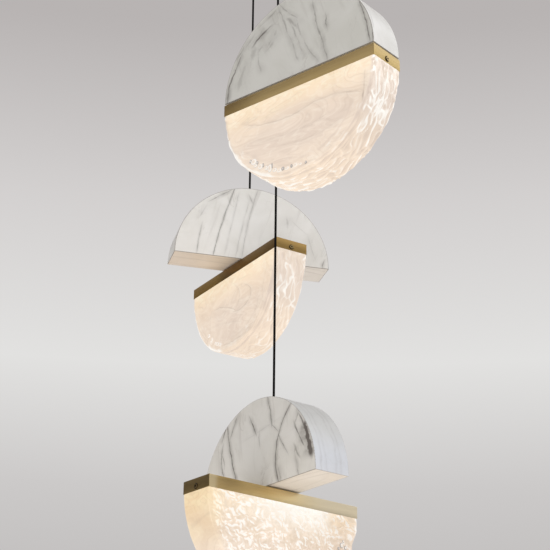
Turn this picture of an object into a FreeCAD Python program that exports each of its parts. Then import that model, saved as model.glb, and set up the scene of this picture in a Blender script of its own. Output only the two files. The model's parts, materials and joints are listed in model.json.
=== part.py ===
import FreeCAD, Part
import math
import os
import Sketcher

# A row of three half-moon drops under one ceiling canopy. Each drop is a bonded stone half above and
# a cast glass half below, and the glass half swivels on a hollow stem about the line of its cord.
# Origin: middle of the ceiling face. X runs along the row, Z up.
# Driving dimensions in millimetres and degrees.
DIMENSIONS = {
    # the row: drop pitch, bare cord lengths, headings of the stone and of the glass under it
    "row_spacing": 285,
    "right_cord_length": 424,
    "centre_cord_length": 1010,
    "left_cord_length": 494,
    "right_stone_heading": 39.3,
    "centre_stone_heading": 26.7,
    "left_stone_heading": 94.8,
    "right_glass_heading": 39.3,
    "centre_glass_heading": 118.5,
    "left_glass_heading": 21.9,
    # the disc that stone, channel and glass make together
    "disc_radius": 150,
    "disc_depth": 66,
    "swivel_gap": 3,
    # stone half: mitred slabs
    "stone_setback": 0.5,
    "stone_wall": 10,
    # brass channel and its end screws
    "channel_height": 20,
    "channel_wall": 2,
    "screw_below_top": 13,
    "screw_radius": 2.5,
    "screw_head_radius": 4.7,
    "screw_head_height": 1.8,
    "screw_head_flat_radius": 3.3,
    "screw_head_edge": 0.7,
    "screw_length": 12,
    "screw_socket_across": 3,
    "screw_socket_depth": 1.2,
    "screw_clearance": 0.2,
    # cast glass half
    "glass_edge_round": 5,
    "glass_neck_clearance": 1,
    "stem_room_depth": 6,
    # carrier plate, light board and bond inside the channel
    "carrier_plate": 3,
    "carrier_clearance": 0.5,
    "carrier_block_length": 10,
    "carrier_block_width": 16,
    "carrier_block_lift": 2.3,
    "board_width": 30,
    "board_thickness": 1.2,
    "board_end_margin": 12,
    "chip_length": 3.5,
    "chip_height": 0.8,
    "chip_row_offset": 10,
    "chip_pitch": 24,
    "chip_count": 10,
    "light_gap": 2,
    "bond_width": 6,
    "bond_edge_margin": 2,
    # hollow stem and what is stacked on it
    "stem_radius": 5,
    "stem_bore_radius": 3,
    "stem_overrun": 1,
    "running_clearance": 0.1,
    "swivel_play": 0.2,
    "washer_radius": 12,
    "washer_thickness": 0.8,
    "washer_room": 2,
    "nut_across": 17,
    "nut_height": 5,
    "nut_room": 2.2,
    "flange_radius": 17,
    "stop_reach": 9,
    "stop_width": 4,
    "stop_tip_cover": 1,
    "stop_clearance": 0.6,
    "anchor_radius": 8,
    "anchor_on_stem": 7,
    "anchor_on_cord": 11,
    # cord and the bush where it enters the stone
    "cord_radius": 2,
    "cord_clearance": 0.2,
    "bush_collar_radius": 3.1,
    "bush_collar_height": 4,
    "bush_flange_radius": 6,
    "bush_flange_thickness": 2,
    "bush_clearance": 0.3,
    # ceiling canopy
    "canopy_overhang": 60,
    "canopy_width": 66,
    "canopy_height": 40,
    "cover_wall": 2,
    "ceiling_shadow_gap": 0.5,
    "plate_thickness": 2,
    "plate_side_clearance": 4,
    "plate_tab_length": 26,
    "plate_tab_width": 26,
    "plate_end_clearance": 0.5,
    "ceiling_hole_spacing": 480,
    "ceiling_hole_radius": 2.75,
    "cable_hole_radius": 8,
    "grip_radius": 7,
    "grip_length": 12,
    "grip_thread_radius": 5,
    "grip_thread_length": 9,
    "grip_nut_height": 4,
    "cord_tail": 8,
    "driver_length": 150,
    "driver_width": 40,
    "driver_height": 26,
    "driver_ear_length": 9,
    "driver_ear_width": 20,
    "driver_ear_thickness": 2,
    "terminal_length": 42,
    "terminal_width": 22,
    "terminal_height": 18,
    "terminal_well_radius": 3,
    "terminal_well_depth": 5,
    "terminal_pitch": 13,
}

HALF_TURN = 180
FULL_TURN = 360
SHEET_NAME = "Sizes"


class Size:
    """A number that keeps the sheet expression behind it."""

    def __init__(self, value, text):
        self.value = value
        self.text = text

    def __add__(self, other):
        other = as_size(other)
        return Size(self.value + other.value, f"({self.text} + {other.text})")

    def __sub__(self, other):
        other = as_size(other)
        return Size(self.value - other.value, f"({self.text} - {other.text})")

    def __mul__(self, other):
        other = as_size(other)
        return Size(self.value * other.value, f"({self.text} * {other.text})")

    def __truediv__(self, other):
        other = as_size(other)
        return Size(self.value / other.value, f"({self.text} / {other.text})")

    def __neg__(self):
        return Size(-self.value, f"(0 - {self.text})")


def as_size(number):
    if isinstance(number, Size):
        return number
    return Size(float(number), f"({float(number)})")


def size(name):
    return Size(DIMENSIONS[name], f"{SHEET_NAME}.{name}")


doc = FreeCAD.newDocument("HalfMoonPendant")
sheet = doc.addObject("Spreadsheet::Sheet", SHEET_NAME)
for row, (name, value) in enumerate(DIMENSIONS.items(), start=1):
    sheet.set(f"A{row}", name)
    sheet.set(f"B{row}", str(value))
    sheet.setAlias(f"B{row}", name)
doc.recompute()

ZERO = as_size(0)


# Sketches and features bound to the sheet


def bind(thing, path, amount):
    thing.setExpression(path, as_size(amount).text)


def new_body(label):
    body = doc.addObject("PartDesign::Body", label)
    body.Label = label
    return body


def new_sketch(body, role, level=ZERO, rise=ZERO):
    """A sketch on an origin plane, moved by level along its normal and by rise along its own Y."""
    sketch = body.newObject("Sketcher::SketchObject", "Sketch")
    plane = next(part for part in body.Origin.OriginFeatures if part.Role == role)
    sketch.AttachmentSupport = [(plane, "")]
    sketch.MapMode = "FlatFace"
    bind(sketch, ".AttachmentOffset.Base.z", level)
    bind(sketch, ".AttachmentOffset.Base.y", rise)
    return sketch


def fix_point(sketch, geometry, position, x, y):
    for kind, amount in (("DistanceX", x), ("DistanceY", y)):
        amount = as_size(amount)
        number = sketch.addConstraint(Sketcher.Constraint(kind, geometry, position, amount.value))
        bind(sketch, f"Constraints[{number}]", amount)


def fix_radius(sketch, geometry, radius):
    number = sketch.addConstraint(Sketcher.Constraint("Radius", geometry, radius.value))
    bind(sketch, f"Constraints[{number}]", radius)


def draw_polygon(sketch, points):
    points = [(as_size(x), as_size(y)) for x, y in points]
    spots = [FreeCAD.Vector(x.value, y.value, 0) for x, y in points]
    following = spots[1:] + spots[:1]
    lines = [sketch.addGeometry(Part.LineSegment(a, b)) for a, b in zip(spots, following)]
    for line, after in zip(lines, lines[1:] + lines[:1]):
        sketch.addConstraint(Sketcher.Constraint("Coincident", line, 2, after, 1))
    for line, (x, y) in zip(lines, points):
        fix_point(sketch, line, 1, x, y)


def draw_rectangle(sketch, left, right, low, high):
    draw_polygon(sketch, [(left, low), (right, low), (right, high), (left, high)])


def draw_circle(sketch, radius, x=ZERO, y=ZERO):
    x, y = as_size(x), as_size(y)
    centre = FreeCAD.Vector(x.value, y.value, 0)
    upward = FreeCAD.Vector(0, 0, 1)
    circle = sketch.addGeometry(Part.Circle(centre, upward, radius.value))
    fix_point(sketch, circle, 3, x, y)
    fix_radius(sketch, circle, radius)


def draw_hexagon(sketch, across, x=ZERO):
    corner = across / math.sqrt(3)
    half = across / 2
    draw_polygon(
        sketch,
        [
            (x + corner, ZERO),
            (x + corner / 2, half),
            (x - corner / 2, half),
            (x - corner, ZERO),
            (x - corner / 2, -half),
            (x + corner / 2, -half),
        ],
    )


def draw_lower_half_disc(sketch, radius, level):
    centre = FreeCAD.Vector(0, level.value, 0)
    circle = Part.Circle(centre, FreeCAD.Vector(0, 0, 1), radius.value)
    arc = sketch.addGeometry(Part.ArcOfCircle(circle, math.pi, 2 * math.pi))
    left = FreeCAD.Vector(-radius.value, level.value, 0)
    right = FreeCAD.Vector(radius.value, level.value, 0)
    line = sketch.addGeometry(Part.LineSegment(right, left))
    sketch.addConstraint(Sketcher.Constraint("Coincident", arc, 2, line, 1))
    sketch.addConstraint(Sketcher.Constraint("Coincident", line, 2, arc, 1))
    fix_point(sketch, arc, 3, ZERO, level)
    fix_radius(sketch, arc, radius)
    for end in (1, 2):
        number = sketch.addConstraint(Sketcher.Constraint("DistanceY", line, end, level.value))
        bind(sketch, f"Constraints[{number}]", level)


def pad(body, sketch, length, symmetric=False, downward=False):
    feature = body.newObject("PartDesign::Pad", "Pad")
    feature.Profile = sketch
    bind(feature, "Length", length)
    feature.SideType = "Symmetric" if symmetric else "One side"
    feature.Reversed = downward
    doc.recompute()
    return feature


def must_remove(body, volume_before):
    doc.recompute()
    if body.Shape.Volume >= volume_before:
        raise RuntimeError(f"a cut in {body.Label} removes nothing")


def pocket(body, sketch, depth=None, symmetric=False, upward=False):
    """A cut against the sketch's normal, or along it where upward. With no depth it goes right through."""
    before = body.Shape.Volume
    feature = body.newObject("PartDesign::Pocket", "Pocket")
    feature.Profile = sketch
    if depth is None:
        feature.Type = "ThroughAll"
    else:
        bind(feature, "Length", depth)
    feature.SideType = "Symmetric" if symmetric else "One side"
    feature.Reversed = upward
    must_remove(body, before)
    return feature


def revolve(body, sketch, axis="V_Axis", angle=FULL_TURN, reversed_turn=False):
    feature = body.newObject("PartDesign::Revolution", "Revolution")
    feature.Profile = sketch
    feature.ReferenceAxis = (sketch, [axis])
    feature.Angle = angle
    feature.Reversed = reversed_turn
    doc.recompute()
    return feature


def repeat_along_x(body, originals, pitch, count):
    """Copies of a feature along X at a pitch, starting from the feature itself."""
    pattern = body.newObject("PartDesign::LinearPattern", "Row")
    pattern.Originals = originals
    pattern.Direction = (originals[0].Profile[0], ["H_Axis"])
    bind(pattern, "Length", pitch * (count - 1))
    bind(pattern, "Occurrences", count)
    body.Tip = pattern
    doc.recompute()
    return pattern


def ring(body, level, height, outer, inner):
    """A flat ring standing on a level."""
    sketch = new_sketch(body, "XY_Plane", level)
    draw_circle(sketch, outer)
    draw_circle(sketch, inner)
    return pad(body, sketch, height)


def hexagon_nut(body, level, height, across, bore):
    sketch = new_sketch(body, "XY_Plane", level)
    draw_hexagon(sketch, across)
    draw_circle(sketch, bore)
    return pad(body, sketch, height)


# Levels on the axis of a drop, measured from the top face of its brass channel


disc_radius = size("disc_radius")
half_depth = size("disc_depth") / 2
gap = size("swivel_gap")
stone_wall = size("stone_wall")
stone_radius = disc_radius - size("stone_setback")
stone_half_depth = half_depth - size("stone_setback")
stone_inner_radius = stone_radius - stone_wall
base_top = gap + stone_wall
stone_top = gap + stone_radius

channel_wall = size("channel_wall")
channel_bottom = -size("channel_height")
carrier_bottom = -channel_wall - size("carrier_plate")
board_bottom = carrier_bottom - size("board_thickness")
glass_neck_top = board_bottom - size("chip_height") - size("light_gap")
screw_axis = -size("screw_below_top")

stem_radius = size("stem_radius")
stem_hole_radius = stem_radius + size("running_clearance")
washer_thickness = size("washer_thickness")
nut_height = size("nut_height")
flange_thickness = gap - washer_thickness - size("swivel_play")
upper_washer_level = base_top
upper_nut_level = upper_washer_level + washer_thickness
upper_nut_top = upper_nut_level + nut_height
middle_washer_level = gap - flange_thickness - washer_thickness
lower_washer_level = -channel_wall - size("swivel_play") - washer_thickness
lower_nut_level = lower_washer_level - nut_height
stem_bottom = lower_nut_level - size("stem_overrun")
stem_top = upper_nut_top + size("anchor_on_stem")
anchor_top = stem_top + size("anchor_on_cord")
board_hole_radius = size("nut_across") / math.sqrt(3) + size("nut_room")
stop_stud_radius = size("stop_width") / 2
stop_lug_end = size("flange_radius") + size("stop_reach")
stop_stud_offset = stop_lug_end - size("stop_tip_cover") - stop_stud_radius
bush_top = stone_top + size("bush_collar_height")


# Stone half


def stone_face():
    """Half-round face slab, mitred at 45 degrees to the rim and to the base slab."""
    body = new_body("stone_face_pattern")
    front = -stone_half_depth
    profile = new_sketch(body, "XY_Plane", gap)
    draw_polygon(
        profile,
        [
            (ZERO, front),
            (stone_radius, front),
            (stone_inner_radius, front + stone_wall),
            (ZERO, front + stone_wall),
        ],
    )
    revolve(body, profile, angle=HALF_TURN, reversed_turn=True)
    mitre = new_sketch(body, "YZ_Plane")
    draw_polygon(
        mitre,
        [
            (front, gap),
            (front + stone_wall, gap),
            (front + stone_wall, base_top),
        ],
    )
    pocket(body, mitre, symmetric=True)
    return body


def draw_base_section(sketch):
    """The base slab seen from the front: its ends are mitred into the rim."""
    draw_polygon(
        sketch,
        [
            (-stone_radius, gap),
            (stone_radius, gap),
            (stone_inner_radius, base_top),
            (-stone_inner_radius, base_top),
        ],
    )


def stone_rim():
    """Half-round band between the faces, with the bush hole at its crown."""
    body = new_body("stone_rim_pattern")
    profile = new_sketch(body, "XY_Plane", gap)
    draw_polygon(
        profile,
        [
            (stone_radius, -stone_half_depth),
            (stone_radius, stone_half_depth),
            (stone_inner_radius, stone_half_depth - stone_wall),
            (stone_inner_radius, stone_wall - stone_half_depth),
        ],
    )
    revolve(body, profile, angle=HALF_TURN, reversed_turn=True)
    mitre = new_sketch(body, "XZ_Plane")
    draw_base_section(mitre)
    pocket(body, mitre, symmetric=True)
    hole = new_sketch(body, "XY_Plane", base_top)
    draw_circle(hole, size("bush_collar_radius") + size("bush_clearance"))
    pocket(body, hole, upward=True)
    return body


def stone_base():
    """Underside slab, mitred all round, with the stem hole."""
    body = new_body("stone_base_pattern")
    section = new_sketch(body, "XZ_Plane")
    draw_base_section(section)
    pad(body, section, stone_half_depth * 2, symmetric=True)
    mitres = new_sketch(body, "YZ_Plane")
    for side in (-1, 1):
        draw_polygon(
            mitres,
            [
                (stone_half_depth * side, gap),
                (stone_half_depth * side, base_top),
                ((stone_half_depth - stone_wall) * side, base_top),
            ],
        )
    pocket(body, mitres, symmetric=True)
    hole = new_sketch(body, "XY_Plane", gap)
    draw_circle(hole, stem_radius + size("bush_clearance"))
    pocket(body, hole, upward=True)
    return body


def cord_bush():
    """Black bush that guides the cord through the crown of the rim."""
    body = new_body("cord_bush_pattern")
    bore = size("cord_radius") + size("cord_clearance")
    collar = size("bush_collar_radius")
    flange = size("bush_flange_radius")
    flange_top = gap + stone_inner_radius - size("bush_clearance")
    profile = new_sketch(body, "XZ_Plane")
    draw_polygon(
        profile,
        [
            (bore, flange_top - size("bush_flange_thickness")),
            (flange, flange_top - size("bush_flange_thickness")),
            (flange, flange_top),
            (collar, flange_top),
            (collar, stone_top + size("bush_collar_height") / 2),
            ((collar + bore) / 2, bush_top),
            (bore, bush_top),
        ],
    )
    revolve(body, profile)
    return body


# Swivel: a hollow stem clamped in the base slab, which carries the stone above and the channel below


def stem():
    body = new_body("stem_pattern")
    ring(body, stem_bottom, stem_top - stem_bottom, stem_radius, size("stem_bore_radius"))
    return body


def stem_nuts():
    """Clamp nut above the base slab and lock nut under the channel's web."""
    body = new_body("stem_nuts_pattern")
    for level in (upper_nut_level, lower_nut_level):
        hexagon_nut(body, level, nut_height, size("nut_across"), stem_hole_radius)
    return body


def stem_washers():
    """Slip washers above the base slab, in the open joint and under the channel's web."""
    body = new_body("stem_washers_pattern")
    for level in (upper_washer_level, middle_washer_level, lower_washer_level):
        ring(body, level, washer_thickness, size("washer_radius"), stem_hole_radius)
    return body


def support_flange():
    """Disc that the stone stands on, with the lug that stops the swivel."""
    body = new_body("support_flange_pattern")
    level = gap - flange_thickness
    outer = size("flange_radius")
    ring(body, level, flange_thickness, outer, stem_hole_radius)
    lug = new_sketch(body, "XY_Plane", level)
    half_width = size("stop_width") / 2
    draw_rectangle(lug, -stop_lug_end, -size("washer_radius"), -half_width, half_width)
    pad(body, lug, flange_thickness)
    return body


def cord_anchor():
    """Ferrule screwed on the top of the stem, which grips the end of the cord."""
    body = new_body("cord_anchor_pattern")
    outer = size("anchor_radius")
    grip = size("cord_radius") + size("running_clearance")
    profile = new_sketch(body, "XZ_Plane")
    shoulder = anchor_top - size("anchor_on_cord") / 2
    draw_polygon(
        profile,
        [
            (stem_hole_radius, upper_nut_top),
            (outer, upper_nut_top),
            (outer, shoulder),
            ((outer + grip) / 2, anchor_top),
            (grip, anchor_top),
            (grip, stem_top),
            (stem_hole_radius, stem_top),
        ],
    )
    revolve(body, profile)
    return body


# Glass half


def channel():
    """Folded brass channel, open below, with the stem hole, end screw holes and the stop stud."""
    body = new_body("channel_pattern")
    block = new_sketch(body, "XY_Plane")
    draw_rectangle(block, -disc_radius, disc_radius, -half_depth, half_depth)
    pad(body, block, size("channel_height"), downward=True)
    hollow = new_sketch(body, "XY_Plane", channel_bottom)
    inner_end = disc_radius - channel_wall
    inner_side = half_depth - channel_wall
    draw_rectangle(hollow, -inner_end, inner_end, -inner_side, inner_side)
    pocket(body, hollow, size("channel_height") - channel_wall, upward=True)
    stem_hole = new_sketch(body, "XY_Plane")
    draw_circle(stem_hole, stem_hole_radius)
    pocket(body, stem_hole)
    screw_holes = new_sketch(body, "YZ_Plane")
    draw_circle(screw_holes, size("screw_radius") + size("screw_clearance"), ZERO, screw_axis)
    pocket(body, screw_holes, symmetric=True)
    stud = new_sketch(body, "XY_Plane")
    draw_circle(stud, stop_stud_radius, stop_stud_offset)
    pad(body, stud, gap - size("stop_clearance"))
    return body


def glass_carrier():
    """Aluminium plate under the web, with a tapped block at each end for the channel's screws."""
    body = new_body("glass_carrier_pattern")
    end = disc_radius - channel_wall - size("carrier_clearance")
    side = half_depth - channel_wall - size("carrier_clearance")
    plate = new_sketch(body, "XY_Plane", -channel_wall)
    draw_rectangle(plate, -end, end, -side, side)
    pad(body, plate, size("carrier_plate"), downward=True)
    blocks = new_sketch(body, "XY_Plane", -channel_wall)
    half_width = size("carrier_block_width") / 2
    block_start = end - size("carrier_block_length")
    draw_rectangle(blocks, -end, -block_start, -half_width, half_width)
    draw_rectangle(blocks, block_start, end, -half_width, half_width)
    block_bottom = channel_bottom + size("carrier_block_lift")
    pad(body, blocks, -channel_wall - block_bottom, downward=True)
    hole = new_sketch(body, "XY_Plane")
    draw_circle(hole, size("washer_radius") + size("washer_room"))
    pocket(body, hole)
    taps = new_sketch(body, "YZ_Plane")
    draw_circle(taps, size("screw_radius") + size("running_clearance"), ZERO, screw_axis)
    pocket(body, taps, symmetric=True)
    return body


def neck_half_length():
    block_start = disc_radius - channel_wall - size("carrier_clearance") - size("carrier_block_length")
    return block_start - size("glass_neck_clearance")


def neck_half_width():
    return half_depth - channel_wall - size("glass_neck_clearance")


def led_board():
    """Light board under the carrier, with two rows of chips facing the glass."""
    body = new_body("led_board_pattern")
    half_length = neck_half_length() - size("board_end_margin")
    half_width = size("board_width") / 2
    board = new_sketch(body, "XY_Plane", carrier_bottom)
    draw_rectangle(board, -half_length, half_length, -half_width, half_width)
    draw_circle(board, board_hole_radius)
    pad(body, board, size("board_thickness"), downward=True)
    chips = new_sketch(body, "XY_Plane", board_bottom)
    half_chip = size("chip_length") / 2
    first = size("chip_pitch") * (size("chip_count") - 1) / -2
    for side in (-1, 1):
        middle = size("chip_row_offset") * side
        draw_rectangle(
            chips, first - half_chip, first + half_chip, middle - half_chip, middle + half_chip
        )
    first_pair = pad(body, chips, size("chip_height"), downward=True)
    repeat_along_x(body, [first_pair], size("chip_pitch"), size("chip_count"))
    return body


def bond_strips():
    """Silicone strips that hold the neck of the glass to the carrier."""
    body = new_body("bond_strips_pattern")
    half_length = neck_half_length() - size("board_end_margin")
    outer = neck_half_width() - size("bond_edge_margin")
    inner = outer - size("bond_width")
    strips = new_sketch(body, "XY_Plane", carrier_bottom)
    draw_rectangle(strips, -half_length, half_length, inner, outer)
    draw_rectangle(strips, -half_length, half_length, -outer, -inner)
    pad(body, strips, carrier_bottom - glass_neck_top, downward=True)
    return body


def glass_half():
    """Cast half disc with rounded arc edges and a neck that stands inside the channel."""
    body = new_body("glass_half_pattern")
    outline = new_sketch(body, "XZ_Plane")
    draw_lower_half_disc(outline, disc_radius, channel_bottom)
    disc = pad(body, outline, half_depth * 2, symmetric=True)
    arcs = [
        f"Edge{number}"
        for number, edge in enumerate(disc.Shape.Edges, start=1)
        if isinstance(edge.Curve, Part.Circle)
    ]
    rounding = body.newObject("PartDesign::Fillet", "RoundedArcs")
    rounding.Base = (disc, arcs)
    bind(rounding, "Radius", size("glass_edge_round"))
    doc.recompute()
    neck = new_sketch(body, "XY_Plane", channel_bottom)
    draw_rectangle(
        neck, -neck_half_length(), neck_half_length(), -neck_half_width(), neck_half_width()
    )
    pad(body, neck, glass_neck_top - channel_bottom)
    stem_room = new_sketch(body, "XY_Plane", glass_neck_top)
    draw_circle(stem_room, board_hole_radius)
    pocket(body, stem_room, size("stem_room_depth"))
    return body


def screw_pair(label, seat, axis_level):
    """Two button-head socket screws on one line along X, their heads seated at plus and minus seat."""
    body = new_body(label)
    head_end = seat + size("screw_head_height")
    tip = seat - size("screw_length")
    profile = new_sketch(body, "XZ_Plane", rise=axis_level)
    draw_polygon(
        profile,
        [
            (tip, ZERO),
            (head_end, ZERO),
            (head_end, size("screw_head_flat_radius")),
            (seat + size("screw_head_edge"), size("screw_head_radius")),
            (seat, size("screw_head_radius")),
            (seat, size("screw_radius")),
            (tip, size("screw_radius")),
        ],
    )
    shank = revolve(body, profile, axis="H_Axis")
    socket = new_sketch(body, "YZ_Plane", head_end, rise=axis_level)
    draw_hexagon(socket, size("screw_socket_across"))
    recess = pocket(body, socket, size("screw_socket_depth"))
    pair = body.newObject("PartDesign::Mirrored", "OtherEnd")
    pair.Originals = [shank, recess]
    plane = next(part for part in body.Origin.OriginFeatures if part.Role == "YZ_Plane")
    pair.MirrorPlane = (plane, [""])
    body.Tip = pair
    doc.recompute()
    return body


# Ceiling canopy


canopy_half_length = size("row_spacing") + size("canopy_overhang")
canopy_half_width = size("canopy_width") / 2
cover_wall = size("cover_wall")
cover_bottom = -size("canopy_height")
cover_floor = cover_bottom + cover_wall
plate_bottom = -size("plate_thickness")
cover_screw_axis = plate_bottom - size("plate_tab_length") / 2
plate_half_length = canopy_half_length - cover_wall - size("plate_end_clearance")
bay_middle = size("row_spacing") / 2


def ceiling_plate():
    """Steel strip screwed to the ceiling, with a tab turned down at each end for the cover's screws."""
    body = new_body("ceiling_plate")
    half_width = canopy_half_width - cover_wall - size("plate_side_clearance")
    strip = new_sketch(body, "XY_Plane")
    draw_rectangle(strip, -plate_half_length, plate_half_length, -half_width, half_width)
    draw_circle(strip, size("cable_hole_radius"), bay_middle / -2)
    for side in (-1, 1):
        draw_circle(strip, size("ceiling_hole_radius"), size("ceiling_hole_spacing") * (side / 2))
    pad(body, strip, size("plate_thickness"), downward=True)
    tabs = new_sketch(body, "XY_Plane", plate_bottom)
    tab_start = plate_half_length - size("plate_thickness")
    tab_half_width = size("plate_tab_width") / 2
    draw_rectangle(tabs, -plate_half_length, -tab_start, -tab_half_width, tab_half_width)
    draw_rectangle(tabs, tab_start, plate_half_length, -tab_half_width, tab_half_width)
    pad(body, tabs, size("plate_tab_length"), downward=True)
    taps = new_sketch(body, "YZ_Plane")
    draw_circle(taps, size("screw_radius") + size("running_clearance"), ZERO, cover_screw_axis)
    pocket(body, taps, symmetric=True)
    return body


def canopy_cover():
    """Brass cover, open towards the ceiling, with a hole for each cord grip and each end screw."""
    body = new_body("canopy_cover")
    block = new_sketch(body, "XY_Plane", cover_bottom)
    draw_rectangle(
        block, -canopy_half_length, canopy_half_length, -canopy_half_width, canopy_half_width
    )
    pad(body, block, size("canopy_height") - size("ceiling_shadow_gap"))
    hollow = new_sketch(body, "XY_Plane", cover_floor)
    inner_end = canopy_half_length - cover_wall
    inner_side = canopy_half_width - cover_wall
    draw_rectangle(hollow, -inner_end, inner_end, -inner_side, inner_side)
    pocket(body, hollow, upward=True)
    grip_holes = new_sketch(body, "XY_Plane", cover_floor)
    for place in (-1, 0, 1):
        hole = size("grip_thread_radius") + size("running_clearance")
        draw_circle(grip_holes, hole, size("row_spacing") * place)
    pocket(body, grip_holes)
    screw_holes = new_sketch(body, "YZ_Plane")
    clear_radius = size("screw_radius") + size("screw_clearance")
    draw_circle(screw_holes, clear_radius, ZERO, cover_screw_axis)
    pocket(body, screw_holes, symmetric=True)
    return body


def cord_grips():
    """Cord grip under each hole of the cover, with its thread through the cover."""
    body = new_body("cord_grips")
    bore = size("cord_radius") + size("cord_clearance")
    outer = size("grip_radius")
    grip_end = cover_bottom - size("grip_length")
    thread_top = cover_bottom + size("grip_thread_length")
    for place in (-1, 0, 1):
        middle = size("row_spacing") * place
        collar = new_sketch(body, "XY_Plane", grip_end)
        draw_circle(collar, outer, middle)
        draw_circle(collar, bore, middle)
        pad(body, collar, size("grip_length"))
        thread = new_sketch(body, "XY_Plane", cover_bottom)
        draw_circle(thread, size("grip_thread_radius"), middle)
        draw_circle(thread, bore, middle)
        pad(body, thread, thread_top - cover_bottom)
    return body


def grip_nuts():
    body = new_body("grip_nuts")
    for place in (-1, 0, 1):
        middle = size("row_spacing") * place
        sketch = new_sketch(body, "XY_Plane", cover_floor)
        draw_hexagon(sketch, size("nut_across"), middle)
        draw_circle(sketch, size("grip_thread_radius") + size("running_clearance"), middle)
        pad(body, sketch, size("grip_nut_height"))
    return body


def led_driver():
    """Driver case on the underside of the plate, with a fixing ear at each end."""
    body = new_body("led_driver")
    half_length = size("driver_length") / 2
    half_width = size("driver_width") / 2
    case = new_sketch(body, "XY_Plane", plate_bottom)
    draw_rectangle(case, bay_middle - half_length, bay_middle + half_length, -half_width, half_width)
    pad(body, case, size("driver_height"), downward=True)
    ears = new_sketch(body, "XY_Plane", plate_bottom)
    reach = half_length + size("driver_ear_length")
    ear_half_width = size("driver_ear_width") / 2
    draw_rectangle(ears, bay_middle - reach, bay_middle + reach, -ear_half_width, ear_half_width)
    pad(body, ears, size("driver_ear_thickness"), downward=True)
    return body


def terminal_block():
    """Three-pole terminal block on the underside of the plate."""
    body = new_body("terminal_block")
    half_length = size("terminal_length") / 2
    half_width = size("terminal_width") / 2
    case = new_sketch(body, "XY_Plane", plate_bottom)
    draw_rectangle(
        case, -bay_middle - half_length, -bay_middle + half_length, -half_width, half_width
    )
    pad(body, case, size("terminal_height"), downward=True)
    wells = new_sketch(body, "XY_Plane", plate_bottom - size("terminal_height"))
    for place in (-1, 0, 1):
        well = -bay_middle + size("terminal_pitch") * place
        draw_circle(wells, size("terminal_well_radius"), well)
    pocket(body, wells, size("terminal_well_depth"), upward=True)
    return body


# The row


def place_copy(label, pattern, x, z, turn):
    """A copy of a pattern piece, moved to its drop and turned about the cord's line."""
    copy = new_body(label)
    base = copy.newObject("PartDesign::FeatureBase", "Copy")
    base.BaseFeature = pattern
    copy.Tip = base
    bind(copy, ".Placement.Base.x", x)
    bind(copy, ".Placement.Base.z", z)
    bind(copy, ".Placement.Rotation.Angle", turn)
    return copy


def straight_cord(label, x, low, high):
    """Taut round cord from the anchor in its drop up through the grip into the canopy."""
    cord = doc.addObject("Part::Cylinder", label)
    cord.Label = label
    bind(cord, "Radius", size("cord_radius"))
    bind(cord, "Height", high - low)
    bind(cord, ".Placement.Base.x", x)
    bind(cord, ".Placement.Base.z", low)
    return cord


stone_face_slab = stone_face()
upper_patterns = {
    "stone_front": (stone_face_slab, 0),
    "stone_back": (stone_face_slab, HALF_TURN),
    "stone_rim": (stone_rim(), 0),
    "stone_base": (stone_base(), 0),
    "cord_bush": (cord_bush(), 0),
    "cord_anchor": (cord_anchor(), 0),
    "stem": (stem(), 0),
    "stem_nuts": (stem_nuts(), 0),
    "stem_washers": (stem_washers(), 0),
    "support_flange": (support_flange(), 0),
}
lower_patterns = {
    "channel": channel(),
    "glass_carrier": glass_carrier(),
    "led_board": led_board(),
    "bond_strips": bond_strips(),
    "glass_half": glass_half(),
    "end_screws": screw_pair("end_screws_pattern", disc_radius, screw_axis),
}

nodes = [
    ceiling_plate(),
    canopy_cover(),
    screw_pair("cover_screws", canopy_half_length, cover_screw_axis),
    cord_grips(),
    grip_nuts(),
    led_driver(),
    terminal_block(),
]
cord_top = cover_floor + size("grip_nut_height") + size("cord_tail")
for side, place in (("right", 1), ("centre", 0), ("left", -1)):
    x = size("row_spacing") * place
    bare_cord = size(f"{side}_cord_length")
    drop_level = cover_bottom - size("grip_length") - bare_cord - bush_top
    stone_heading = size(f"{side}_stone_heading")
    glass_heading = size(f"{side}_glass_heading")
    nodes.append(straight_cord(f"{side}_cord", x, drop_level + stem_top, cord_top))
    for piece, (pattern, extra_turn) in upper_patterns.items():
        heading = stone_heading + extra_turn
        nodes.append(place_copy(f"{side}_{piece}", pattern, x, drop_level, heading))
    for piece, pattern in lower_patterns.items():
        nodes.append(place_copy(f"{side}_{piece}", pattern, x, drop_level, glass_heading))
    print(f"{side}: channel top at {drop_level.value:.1f} mm, bare cord {bare_cord.value:.0f} mm")

doc.recompute()
for thing in doc.Objects:
    if "Invalid" in thing.State or "Error" in thing.State:
        raise RuntimeError(f"{thing.Label} failed: {thing.State}")
for node in nodes:
    if node.Shape.isNull() or not node.Shape.isValid():
        raise RuntimeError(f"{node.Label} has no valid shape")

os.makedirs("parts", exist_ok=True)
for node in nodes:
    node.Shape.exportStep(f"parts/{node.Label}.step")
print(f"{len(nodes)} nodes written")
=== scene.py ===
import functools
import itertools
import json
import math

import bmesh
import bpy
import numpy as np
from mathutils import Matrix, Vector


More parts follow.
